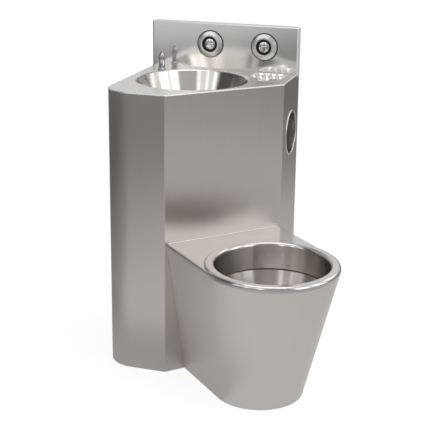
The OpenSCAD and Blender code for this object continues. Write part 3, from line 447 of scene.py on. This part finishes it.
def inside(point, loop):
    """Whether a point of the plane lies inside a closed outline."""
    x, y = point
    odd = False
    for (x0, y0), (x1, y1) in zip(loop, loop[1:] + loop[:1]):
        if (y0 > y) != (y1 > y) and x < x0 + (y - y0) / (y1 - y0) * (x1 - x0):
            odd = not odd
    return odd


def filled(outer, holes=(), extra=()):
    """Triangles of a flat outline with holes, and extra points inside it: (points, triangles)."""
    points, edges = [], []
    for loop in [outer, *holes]:
        first = len(points)
        points += [Vector(p) for p in loop]
        edges += [(first + i, first + (i + 1) % len(loop)) for i in range(len(loop))]
    points += [Vector(p) for p in extra]
    got, _, triangles, _, _, _ = delaunay_2d_cdt(points, edges, [], 0, 1e-5)
    kept = []
    for triangle in triangles:
        centre = (got[triangle[0]] + got[triangle[1]] + got[triangle[2]]) / 3
        centre = (centre.x, centre.y)
        if inside(centre, outer) and not any(inside(centre, hole) for hole in holes):
            kept.append(list(triangle))
    return [(p.x, p.y) for p in got], kept


def flipped(faces):
    return [face[::-1] for face in faces]


def joined(*parts):
    """Several (verts, faces) as one."""
    verts, faces = [], []
    for v, f in parts:
        first = len(verts)
        verts += list(v)
        faces += [[first + i for i in face] for face in f]
    return verts, faces


def weld(verts, faces, grid=1e-5):
    """Merges the vertices that lie together."""
    seen, index, kept = {}, [], []
    for v in verts:
        key = tuple(round(c / grid) for c in v)
        if key not in seen:
            seen[key] = len(kept)
            kept.append(v)
        index.append(seen[key])
    merged = [once(index[i] for i in face) for face in faces]
    return kept, [face for face in merged if len(face) > 2]


def strip(rows):
    """Quads between rows of vertices of equal length: (verts, faces)."""
    count = len(rows[0])
    starts = [i * count + j for i in range(len(rows) - 1) for j in range(count - 1)]
    return [v for row in rows for v in row], [[a, a + 1, a + 1 + count, a + count] for a in starts]


def offset(profile, d):
    """Profile moved sideways by d, to the right of its run."""
    moved = []
    for i, p in enumerate(profile):
        a = profile[max(i - 1, 0)]
        b = profile[min(i + 1, len(profile) - 1)]
        dx, dy = b[0] - a[0], b[1] - a[1]
        length = math.hypot(dx, dy) or 1
        moved.append((p[0] + dy / length * d, p[1] - dx / length * d))
    return moved


def outline(inset, back):
    """Plan of the cabinet from its right side to its left side, ending at y = back."""
    t = math.sqrt(2) - 1
    front_x = CABINET_W - CHAMFER
    corners = [
        (CABINET_W - FOLD_R, -RIGHT_D + t * FOLD_R, FOLD_R, 0, -45, 6),
        (front_x - t * FOLD_R, FOLD_R - CABINET_D, FOLD_R, -45, -90, 6),
        (CORNER_R, CORNER_R - CABINET_D, CORNER_R, -90, -180, 28),
    ]
    points = [(CABINET_W - inset, back)]
    for cx, cy, radius, a, b, n in corners:
        points += arc(cx, cy, max(radius - inset, 0.001), a, b, n)
    return points + [(inset, back)]


# Pieces
def cabinet_shell():
    """The folded sheet round the cabinet, with flanges on the wall and its cut-outs."""
    r = FOLD_R
    path = [(CABINET_W - WALL_FLANGE, 0)] + arc(CABINET_W - r, -r, r, 90, 0, 6)
    path += outline(0, -RIGHT_D / 2)[1:-1]
    path += arc(r, -r, r, 180, 90, 6) + [(WALL_FLANGE, 0)]
    verts, faces = [], []
    for a, b in zip(path, path[1:]):
        length = math.dist(a, b)
        right_side = all(abs(p[0] - CABINET_W) < 1e-6 for p in (a, b))
        front_face = all(abs(p[0] - p[1] - CABINET_W - RIGHT_D) < 1e-3 for p in (a, b))
        holes = []
        if right_side:
            holes = [circle(abs(a[1] - ROLL_Y), ROLL_Z, ROLL_R + ROLL_HOLE_GAP)]
        elif front_face:
            mid = math.dist(a, FRONT_MID)
            holes = [circle(mid, SOIL_Z, SOIL_HOLE_R, 64), circle(mid, FLUSH_Z, FLUSH_HOLE_R, 48)]
        corners = [(0, 0), (length, 0), (length, PANEL_H), (0, PANEL_H)]
        flat, panel = filled(corners, holes) if holes else (corners, [[0, 1, 2, 3]])
        upright = [
            at(a[0] + (b[0] - a[0]) * s / length, a[1] + (b[1] - a[1]) * s / length, z)
            for s, z in flat
        ]
        verts, faces = joined((verts, faces), (upright, panel))
    verts, faces = weld(verts, faces)
    piece("cabinet_shell", verts, flipped(faces), "panel", "satin_steel",
          ("left_panel", "front_panel", "right_panel"), thick=SHEET, weighted=True)


def dish_distance(x, y):
    """Distance inside the soap dish's outline, dish and tongue together, negative outside."""
    def rounded(px, py, half_w, half_d, r):
        qx, qy = abs(px) - half_w + r, abs(py) - half_d + r
        return min(max(qx, qy), 0) + math.hypot(max(qx, 0), max(qy, 0)) - r

    tray = rounded(x - DISH_X, y - DISH_Y, DISH_HALF_W, DISH_HALF_D, DISH_R)
    tongue = rounded(x - DISH_X, y - TONGUE_Y, TONGUE_HALF_W, TONGUE_HALF_L, TONGUE_HALF_W)
    return -min(tray, tongue)


def dish_loop():
    """Outline of the soap dish and its tongue."""
    r, front = DISH_R, DISH_Y - DISH_HALF_D
    right, left = DISH_X + DISH_HALF_W - r, DISH_X - DISH_HALF_W + r
    near, far = front + r, DISH_Y + DISH_HALF_D - r
    tip = TONGUE_Y - TONGUE_HALF_L + TONGUE_HALF_W
    points = arc(right, far, r, 90, 0, 10) + arc(right, near, r, 0, -90, 10)
    points += [(DISH_X + TONGUE_HALF_W, front)]
    points += arc(DISH_X, tip, TONGUE_HALF_W, 0, -180, 24)
    points += [(DISH_X - TONGUE_HALF_W, front)]
    return points + arc(left, near, r, -90, -180, 10) + arc(left, far, r, 180, 90, 10)


def dish_height(x, y):
    """Height of the pressed dish over the deck: a tray with a soft edge, and half round ribs."""
    d = dish_distance(x, y)
    if d <= 0:
        return 0.0
    t = min(d / DISH_EDGE, 1.0)
    along_tongue = max(DISH_Y - DISH_HALF_D - y, 0) / TONGUE_RISE_L
    depth = DISH_DEPTH - TONGUE_RISE * min(1, along_tongue)
    best = -depth * (t * t * (3 - 2 * t))
    for i in range(RIB_COUNT):
        rib_x = DISH_X + (i - RIB_COUNT // 2) * RIB_STEP
        past_end = max(abs(y - DISH_Y) - RIB_HALF_L, 0)
        q = math.hypot(x - rib_x, past_end) / RIB_HALF_W
        if q < 1:
            best = max(best, RIB_H * math.cos(q * math.pi / 2) ** RIB_CROWN - DISH_DEPTH)
    return best


def basin_top():
    """Deck with its rolled edge, open over the bowl and the soap dish."""
    edge = FOLD_R
    rows = [[at(*p, PANEL_H) for p in outline(0, SPLASH_Y)]]
    for a in range(0, 91, 10):
        c, s = math.cos(math.radians(a)), math.sin(math.radians(a))
        rows.append([at(*p, DECK_Z - edge + edge * s) for p in outline(edge * (1 - c), SPLASH_Y)])
    rim = circle(*BASIN, BASIN_OUT_R, 192)
    flat, triangles = filled(outline(edge, SPLASH_Y), [rim, dish_loop()])
    top = [at(x, y, DECK_Z) for x, y in flat]
    verts, faces = weld(*joined(strip(rows), (top, flipped(triangles))))
    deck = piece("basin_deck_sheet", verts, flipped(faces), "deck", "satin_steel",
                 ("basin_deck",), thick=SHEET, weighted=True)
    finish_where(deck, "panel", lambda c: c.z < (DECK_Z - edge) / 1000)


def soap_dish():
    """The pressed dish, on a grid of points fine enough for its ribs."""
    step, clear = 1.1, 0.8
    left, front = DISH_X - DISH_HALF_W - 2.5, TONGUE_Y - TONGUE_HALF_L - 3.0
    columns = math.ceil((DISH_X + DISH_HALF_W - left) / step)
    rows = math.ceil((DISH_Y + DISH_HALF_D - front) / step)
    grid = [(left + i * step, front + j * step) for i in range(columns) for j in range(rows)]
    flat, triangles = filled(dish_loop(), (), [p for p in grid if dish_distance(*p) > clear])
    tray = [at(x, y, DECK_Z + dish_height(x, y)) for x, y in flat]
    # The dish takes the lighter copy of the steel, painted highlight
    piece("soap_dish_tray", tray, triangles, "dish", "polished_steel", ("soap_dish",), angle=70,
          thick=1.2)


def basin():
    """Bowl from the deck over the sloping wall and the bend down to the waste."""
    taper, fall = math.radians(BASIN_TAPER), math.radians(BASIN_FALL)
    top = arc(BASIN_OUT_R, DECK_Z - BASIN_RIM_R, BASIN_RIM_R, 90, 180 - BASIN_TAPER, 12)
    foot = (top[-1][0] - BASIN_WALL_H * math.tan(taper), top[-1][1] - BASIN_WALL_H)
    centre = (foot[0] - BASIN_BEND_R * math.cos(taper), foot[1] + BASIN_BEND_R * math.sin(taper))
    top += arc(*centre, BASIN_BEND_R, -BASIN_TAPER, BASIN_FALL - 90, 20)
    end = top[-1]
    top += [(WASTE_R, end[1] - (end[0] - WASTE_R) * math.tan(fall))]

    def place(x, y, z):
        return at(BASIN[0] + x, BASIN[1] + y, z)

    verts, faces = lathe(top + offset(top, -SHEET)[::-1], place, 192)
    bowl = piece("basin_bowl_spun", verts, faces, "bowl", "polished_steel", ("basin_bowl",),
                 angle=40)
    finish_where(bowl, "deck", lambda c: c.z > (DECK_Z - 3) / 1000)


def roll_holder():
    """Deep drawn cup with a rolled lip, opening to the right."""
    corner = (ROLL_R - ROLL_BEND_R, ROLL_BEND_R + SHEET - ROLL_DEPTH)
    profile = arc(ROLL_R + ROLL_LIP_R, 0, ROLL_LIP_R, 0, 180, 14) + [(ROLL_R, corner[1])]
    profile += arc(*corner, ROLL_BEND_R, 0, -90, 8) + [(0, SHEET - ROLL_DEPTH)]
    profile += [(0, -ROLL_DEPTH), (corner[0], -ROLL_DEPTH)]
    profile += arc(*corner, ROLL_BEND_R + SHEET, -90, 0, 8)
    profile += [(ROLL_R + SHEET, -0.2), (ROLL_R + 2 * ROLL_LIP_R, -0.2)]

    def place(x, y, z):
        return at(CABINET_W + z, ROLL_Y + x, ROLL_Z + y)

    verts, faces = lathe(profile, place, 128)
    piece("roll_holder_cup", verts, faces, "lip", "satin_steel", ("roll_holder",), angle=35)


def tap():
    """Turned pillar with a domed head and a small nozzle towards the user."""
    def upright(x, y, z):
        return at(TAP[0] + x, TAP[1] + y, DECK_Z + z)

    def forwards(x, y, z):
        return at(TAP[0] + x, TAP[1] - z, DECK_Z + 40.0 + y)

    pillar = [(0, -36), (6, -36), (6, 0.1), (12.4, 0.1)] + arc(12.0, 1.2, 1.0, -40, 60, 5)
    pillar += [(10.8, 2.9), (9.5, 4.4), (9.3, 30.0)] + arc(9.0, 31.0, 0.7, -80, 80, 5)
    pillar += [(9.3, 32.2), (9.4, 43.5)] + arc(2.5, 43.5, 7.0, 0, 55, 8)
    pillar += [(5.4, 51.4), (4.6, 54.0), (4.5, 57.6)] + arc(3.3, 58.6, 1.3, 0, 90, 5)
    pillar += [(0, 59.95)]
    nozzle = [(5.6, 8.2), (5.6, 9.6), (5.0, 10.2), (5.0, 20.6)] + arc(4.2, 20.6, 0.8, 0, 90, 4)
    nozzle += arc(3.6, 20.8, 0.6, 90, 180, 4) + [(3.0, 10.0), (0, 10.0)]
    verts, faces = joined(lathe(pillar, upright, 72, closed=False),
                          lathe(nozzle, forwards, 48, closed=False))
    # The tap takes the darker copy of the chrome, painted shade
    piece("tap_pillar", verts, faces, "tap", "chrome", ("spout",), angle=38)


def splashback():
    """Sheet folded round its top and both sides, with a hole for each push button."""
    r, high = FOLD_R, SPLASH_TOP - FOLD_R
    stations = [(r, DECK_Z, 180)] + [(r, high, a) for a in range(180, 89, -15)]
    stations += [(CABINET_W - r, high, a) for a in range(90, -1, -15)]
    stations += [(CABINET_W - r, DECK_Z, 0)]
    rows = []
    for turn in range(0, 91, 15):
        out = r * math.sin(math.radians(turn))
        back = r - r * math.cos(math.radians(turn))
        rows.append([
            at(x + out * math.cos(math.radians(a)), SPLASH_Y + back,
               z + out * math.sin(math.radians(a)))
            for x, z, a in stations
        ])
    rows.append([Vector((v.x, WALL, v.z)) for v in rows[-1]])
    sides = [(0, 0), (0, SPLASH_Y), (CABINET_W, SPLASH_Y), (CABINET_W, 0)]
    foot = [[at(*p, z) for p in sides] for z in (PANEL_H, DECK_Z)]
    left = [(0, SPLASH_Y)] + arc(r, SPLASH_Y + r, r, 270, 180, 6)
    right = [(CABINET_W - x, y) for x, y in left[::-1]]
    corners = [
        ([at(*p, DECK_Z) for p in corner], [list(range(len(corner)))])
        for corner in (left, right)
    ]
    holes = [circle(x, BUTTON_Z, BUTTON_HOLE_R, 64) for x in BUTTON_X.values()]
    face = [(r, DECK_Z), (CABINET_W - r, DECK_Z), (CABINET_W - r, high), (r, high)]
    flat, triangles = filled(face, holes)
    front = ([at(x, SPLASH_Y, z) for x, z in flat], triangles)
    verts, faces = weld(*joined(strip(rows), strip(foot), front, *corners))
    folded = piece("splashback_sheet", verts, faces, "splash", "polished_steel", ("splashback",),
                   thick=SHEET, weighted=True)

    near = at(r - 0.1, SPLASH_Y + r - 0.1, DECK_Z)
    far = at(CABINET_W - r + 0.1, 0, high + 0.1)
    # Painted shade: the top fold of the splashback takes the darker satin
    finish_where(folded, "lip", lambda c: c.z > far.z)
    # Painted shade: the left return of the splashback takes the darker satin
    finish_where(folded, "inside", lambda c: c.x < near.x)
    # Painted shade: the left front fold of the splashback takes the near-black copy of the steel
    finish_where(folded, "bend", lambda c: c.x < near.x and c.z > near.z and c.y < near.y)
    # Painted highlight: the right return and fold of the splashback take the lighter copy of the
    # steel
    finish_where(folded, "edge", lambda c: c.x > far.x)


def button(name):
    """Push button: flange on its seal lip, a well, and a domed head that moves; the near-black of
    the lip and the well is their black with painted shade.
    """
    def place(x, y, z):
        return at(BUTTON_X[name] + x, SPLASH_Y - z, BUTTON_Z + y)

    ring = [(25, 4), (25.0, 10.2)] + arc(25.8, 10.2, 0.8, 180, 90, 4)
    ring += arc(29.5, 9.0, 2.0, 90, 70, 3) + arc(38.6, 4.6, 1.6, 70, 0, 8)
    ring += [(40.2, 1.0), (19.2, 1.0), (19.2, 4.0)]
    seal = [(40.25, 0.3), (40.25, 2.2)] + arc(41.7, 2.1, 1.45, 180, 0, 10) + [(43.15, 0.3)]
    well = [(24.95, 10.0), (24.95, 4.05), (17.2, 4.05), (17.2, 3.0), (24.4, 3.0), (24.4, 10.0)]
    head = [(0, -4), (18.4, -4), (18.4, 0.6), (16.9, 0.7), (16.9, 5.4)]
    head += arc(15.3, 5.4, 1.6, 0, 62, 6) + [(13.2, 7.5), (9.0, 8.35), (4.5, 8.85), (0, 9.0)]
    piece(name + "_bezel_ring", *lathe(ring, place, 128), "bezel", "chrome", (name + "_bezel",),
          angle=30)
    # The seal lip and the well are near-black: their own black with painted shade round the flange
    # and in the recess
    piece(name + "_seal_lip", *lathe(seal, place, 128), "recess", "rubber", angle=60)
    piece(name + "_well", *lathe(well, place, 96), "recess", "black_plastic", angle=30)
    piece(name + "_head", *lathe(head, place, 96, closed=False), "chrome", "chrome", (name,),
          body=name, angle=38)


def pan_deck():
    """Flat sheet from the front face to the seat ring, with an upturned flange at the back."""
    edge, half, end_u = DECK_EDGE_R, PAN_R - DECK_EDGE_R, PAN_U - 0.5
    flange = arc(3.7, 2.5, 2.5, 270, 180, 8) + arc(0.2, 8.0, 1.0, 0, 90, 5)

    def side_edge(side):
        rows = [[at_pan(u, side * PAN_R, RIM_LOW_Z) for u in (PAN_BACK_U, end_u)]]
        for a in range(0, 91, 15):
            c, s = math.cos(math.radians(a)), math.sin(math.radians(a))
            v = side * (PAN_R - edge + edge * c)
            rows.append([at_pan(u, v, PAN_DECK_Z - edge + edge * s) for u in (PAN_BACK_U, end_u)])
        return strip(rows if side > 0 else [row[::-1] for row in rows])

    ring = arc(PAN_U, 0, PAN_R - 1, 258, 102, 96)[::-1]
    loop = [(flange[0][0], -half), (flange[0][0], half)]
    loop += [p for p in ring if abs(p[1]) <= half and p[0] < PAN_U]
    flat, triangles = filled(loop)
    top = ([at_pan(u, v, PAN_DECK_Z) for u, v in flat], triangles)
    rise = [[at_pan(u, v, PAN_DECK_Z + z) for v in (-half, half)] for u, z in flange]
    verts, faces = weld(*joined(side_edge(1), side_edge(-1), top, strip(rise)))
    deck = piece("pan_deck_sheet", verts, faces, "pan_top", "polished_steel", ("pan_deck",),
                 weighted=True)
    finish_where(deck, "panel", lambda c: c.z > (PAN_DECK_Z + 0.05) / 1000)
    finish_where(deck, "skirt", lambda c: c.z < (PAN_DECK_Z - edge) / 1000)


def seat_ring():
    """Raised ring round the opening, and the flushing rim that hangs from it."""
    r, z = RIM_ROLL_R, RIM_Z - RIM_ROLL_R
    profile = [(PAN_R, RIM_LOW_Z)] + arc(PAN_R - r, z, r, 0, 90, 12)
    profile += arc(OPENING_R + r, z, r, 90, 180, 12)
    profile += [(OPENING_R, FLUSH_LOW_Z), (OPENING_R + SHEET, FLUSH_LOW_Z)]
    profile += [(OPENING_R + SHEET, z)] + arc(OPENING_R + r, z, r - SHEET, 180, 90, 6)
    profile += arc(PAN_R - r, z, r - SHEET, 90, 0, 6) + [(PAN_R - SHEET, RIM_LOW_Z)]
    verts, faces = lathe(profile, round_pan, 192)
    ring = piece("seat_ring_pressed", verts, faces, "pan_top", "polished_steel",
                 ("seat_ring", "flushing_rim"), angle=40)
    axis = at_pan(PAN_U, 0, 0).to_2d()
    finish_where(ring, "pan_bowl", lambda c: c.z < (RIM_Z - 8) / 1000
                 and (c.to_2d() - axis).length < (OPENING_R + 5) / 1000)


def pan_bowl():
    """Bowl under the flushing rim: wall, taper, bend and throat, with a painted shade line under
    the rim.
    """
    slope, cone = math.radians(BOWL_TAPER), math.radians(BOWL_CONE)
    low_r = OPENING_R + SHEET + FLUSH_GAP

    def wall(z):
        return (low_r - (FLUSH_LOW_Z - z) * math.tan(slope), z)

    # Heights of the painted shade line under the flushing rim
    line = (FLUSH_LOW_Z - 5.5, FLUSH_LOW_Z + 1)
    foot = wall(BOWL_BEND_Z)
    bend = (foot[0] - BOWL_BEND_R * math.cos(slope), foot[1] + BOWL_BEND_R * math.sin(slope))
    shoulder = (BOWL_R, FLUSH_LOW_Z + (BOWL_R - low_r) / math.tan(slope))
    top = [(BOWL_R, RIM_Z - 2.2), shoulder, wall(line[1]), wall(line[0])]
    top += arc(*bend, BOWL_BEND_R, -BOWL_TAPER, -BOWL_CONE, 16)
    end = top[-1]
    throat_x = THROAT_R + THROAT_BEND_R
    throat_top = throat_x - THROAT_BEND_R * math.cos(cone)
    throat_z = end[1] - (end[0] - throat_top) / math.tan(cone) - THROAT_BEND_R * math.sin(cone)
    top += arc(throat_x, throat_z, THROAT_BEND_R, 180 - BOWL_CONE, 180, 8)
    top += [(THROAT_R, THROAT_LOW_Z)]
    verts, faces = lathe(top + offset(top, -SHEET)[::-1], round_pan, 192)
    bowl = piece("pan_bowl_spun", verts, faces, "pan_bowl", "polished_steel", ("pan_bowl",),
                 angle=40)
    finish_where(bowl, "gap", lambda c: line[0] / 1000 < c.z < line[1] / 1000)


def pan_skirt():
    """Ruled sheet from the rim down to the foot."""
    def loop(u, r, n=96):
        turns = [math.radians(90 - 180 * i / n) for i in range(n + 1)]
        bend = [(u + r * math.cos(a), r * math.sin(a)) for a in turns]
        return [(PAN_BACK_U, r)] + bend + [(PAN_BACK_U, -r)]

    top, foot = loop(PAN_U, PAN_R - 1), loop(FOOT_U, FOOT_R)
    rows = []
    for i in range(13):
        t = i / 12
        rows.append([
            at_pan(f[0] + (p[0] - f[0]) * t, f[1] + (p[1] - f[1]) * t, RIM_LOW_Z * t)
            for f, p in zip(foot, top)
        ])
    verts, faces = strip(rows)
    piece("pan_skirt_sheet", verts, flipped(faces), "skirt", "satin_steel", ("pan_skirt",),
          thick=SHEET, angle=40, weighted=True)


cabinet_shell()
basin_top()
soap_dish()
basin()
roll_holder()
tap()
splashback()
for button_name in BUTTON_X:
    button(button_name)
pan_deck()
seat_ring()
pan_bowl()
pan_skirt()

# CAD nodes that still show, by finish; the drains and the flush pipe have the finish "inside"
NODES_OF_FINISH = {
    "mill": "left_gusset right_gusset upper_wall_rail lower_wall_rail left_floor_bracket"
            " right_floor_bracket tap_button_spring flush_button_spring",
    "casting": "flush_valve tap_valve",
    "rubber": "spout_washer waste_washer flush_pipe_seal tap_button_gasket flush_button_gasket",
    "plastic": "tap_button_housing flush_button_housing tap_button_nut flush_button_nut",
    "brass": "spout_nut spout_tail waste_nut flush_isolator_body tap_isolator_body",
    "copper": "flush_supply_pipe flush_link_pipe tap_supply_pipe",
    "chrome": "basin_waste flush_isolator_ball tap_isolator_ball",
    "red": "flush_isolator_lever tap_isolator_lever",
    "blue": "flush_air_tube tap_air_tube",
}
FINISH_OF_NODE = {node: key for key, names in NODES_OF_FINISH.items() for node in names.split()}
for node_name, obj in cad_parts.items():
    finish = MATERIALS[FINISH_OF_NODE.get(node_name, "inside")]
    if obj.material_slots:
        for slot in obj.material_slots:
            slot.material = finish
    else:
        obj.data.materials.append(finish)


# Stage and light, in metres
FLOOR_HALF = 9.0
SCREEN_HALF = 8.5
RAMP_REACH = 8
# Cover of the floor patches by distance from a point, (distance, cover): a painted falloff of the
# floor's light, seen only in reflections
FRONT_STOPS = ((0.6, 0.42), (1.8, 0.32), (2.3, 0.68), (3.25, 0.86), (4.0, 0.95), (5.2, 0.85),
               (6.1, 0.40))
BACK_STOPS = ((0.5, 0.42), (1.4, 0.74), (3.0, 0.93))


def stage_mesh(name, verts, faces, material):
    mesh = bpy.data.meshes.new(name)
    mesh.from_pydata(verts, [], faces)
    mesh.materials.append(material)
    obj = bpy.data.objects.new(name, mesh)
    bpy.context.scene.collection.objects.link(obj)
    return obj


def rectangle(x0, y0, x1, y1, z):
    return [(x0, y0, z), (x1, y0, z), (x1, y1, z), (x0, y1, z)], [(0, 1, 2, 3)]


def make_floor():
    """Pale floor: it shows white, with the object's own soft shadow round its foot."""
    n = new_material("pale_floor")
    near = n.add("ShaderNodeAddShader")
    n.link(n.diffuse(0.3), near.inputs[0])
    n.link(n.emission(0.82), near.inputs[1])
    far = n.span(n.distance((0, 0, 0)), 0.6, 1.3, 0.0, 1.0)
    shown = n.mixed(far, near.outputs[0], n.emission(1.0))
    n.link(n.mixed(n.background_rays(), n.diffuse(0.75), shown), n.out.inputs["Surface"])
    corners = rectangle(-FLOOR_HALF, -FLOOR_HALF, FLOOR_HALF, FLOOR_HALF, 0)
    stage_mesh("floor", *corners, n.owner)


def make_world():
    """White as a background, and a soft bluish light on the object."""
    world = bpy.data.worlds.new("studio")
    bpy.context.scene.world = world
    n = Nodes(world, "ShaderNodeOutputWorld")
    soft = n.background((0.9, 0.95, 1.0), 0.55)
    white = n.background((1, 1, 1), 1.0)
    n.link(n.mixed(n.background_rays(), soft, white), n.out.inputs["Surface"])


def softbox(name, bearing, distance, height, size, level, aim=0.6):
    """Upright or overhead area light; level is the brightness of its face, where 1 is white."""
    data = bpy.data.lights.new(name, "AREA")
    data.shape = "RECTANGLE"
    data.size, data.size_y = size
    data.energy = level * math.pi * size[0] * size[1]
    obj = bpy.data.objects.new(name, data)
    bpy.context.scene.collection.objects.link(obj)
    a = math.radians(bearing)
    obj.location = (distance * math.cos(a), distance * math.sin(a), height)
    obj.rotation_mode = "QUATERNION"
    obj.rotation_quaternion = (Vector((0, 0, aim)) - obj.location).to_track_quat("-Z", "Y")


def screen(name, verts, faces, level, most, rings=None):
    """A grey screen that only reflections see, upright or laid on the floor as painted shade. most
    is how much it covers; with rings = (x, y, stops) its cover follows the distance from a point
    of the floor: (distance, cover), a painted falloff of the floor's light."""
    n = new_material(name)
    cover = float(most)
    if rings:
        x, y, stops = rings
        ramp = n.add("ShaderNodeValToRGB")
        marks = ramp.color_ramp.elements
        while len(marks) < len(stops):
            marks.new(1.0)
        for mark, (distance, share) in zip(marks, stops):
            mark.position = distance / RAMP_REACH
            mark.color = (share, share, share, 1)
        n.link(n.span(n.distance((x, y, 0)), 0, RAMP_REACH, 0, 1), ramp.inputs[0])
        cover = ramp.outputs["Color"]
    clear = n.add("ShaderNodeBsdfTransparent").outputs[0]
    n.link(n.mixed(cover, clear, n.emission(level)), n.out.inputs["Surface"])
    obj = stage_mesh(name, verts, faces, n.owner)
    obj.visible_camera = False
    obj.visible_diffuse = False
    obj.visible_shadow = False
    obj.visible_transmission = False


def curved_screen(name, start, end, level, most, low=0.05, high=8.0, radius=5.0):
    """Upright screen round the object between two bearings, in degrees from +X."""
    rows = [[(x, y, z) for x, y in arc(0, 0, radius, start, end, 24)] for z in (low, high)]
    screen(name, *strip(rows), level, most)


# A dark patch on the floor that only reflections see: painted shade on the floor
def dark_floor(name, x0, y0, x1, y1, z, most, rings=None, level=0.1):
    screen(name, *rectangle(x0, y0, x1, y1, z), level, most, rings)


make_floor()
make_world()
softbox("right_box", 4, 2.6, 1.85, (1.0, 1.9), 1.6)
softbox("front_box", -26, 2.6, 1.85, (0.95, 1.9), 1.6)
softbox("slim_box", -92.5, 2.8, 2.1, (0.4, 1.4), 1.7)
softbox("left_slim_box", -115, 2.8, 2.1, (0.28, 1.4), 1.7)
softbox("high_back_box", 50, 2.8, 2.3, (1.4, 1.2), 1.4)
softbox("high_left_box", -136, 2.8, 2.3, (0.25, 1.4), 1.6)
softbox("top_box", 90, 0.2, 3.1, (1.8, 1.4), 1.9)
# Painted shade on the floor, seen only in reflections: its cover follows the distance from the
# object, a painted falloff of the floor's light
dark_floor("front_floor", -SCREEN_HALF, -SCREEN_HALF, SCREEN_HALF, 1.0, 0.001, 1.0,
           (1.2, -0.9, FRONT_STOPS))
dark_floor("back_floor", -SCREEN_HALF, 1.0, SCREEN_HALF, SCREEN_HALF, 0.001, 1.0,
           (0.5, 1.0, BACK_STOPS))
# A painted shadow beside the cabinet's left foot, seen only in reflections
dark_floor("side_floor", -0.9, -0.4, 0.05, 0.2, 0.002, 0.28)
dark_floor("left_floor", -SCREEN_HALF, -4, -2.6, 1.0, 0.002, 0.8)
dark_floor("far_floor", -1.65, -7.4, -0.2, -4.2, 0.003, 0.6)
curved_screen("front_screen", -38, -85, 0.3, 0.75)
curved_screen("low_front_screen", -85, -122, 0.3, 0.75, low=0.7, high=2.3)
curved_screen("low_screen", -122, -338, 0.2, 0.8, high=1.6)
curved_screen("left_screen", -142, -197, 0.04, 0.95, low=1.6)
curved_screen("back_left_screen", -214, -228, 0.04, 0.95, low=1.6)

bpy.context.scene.view_settings.view_transform = "Standard"
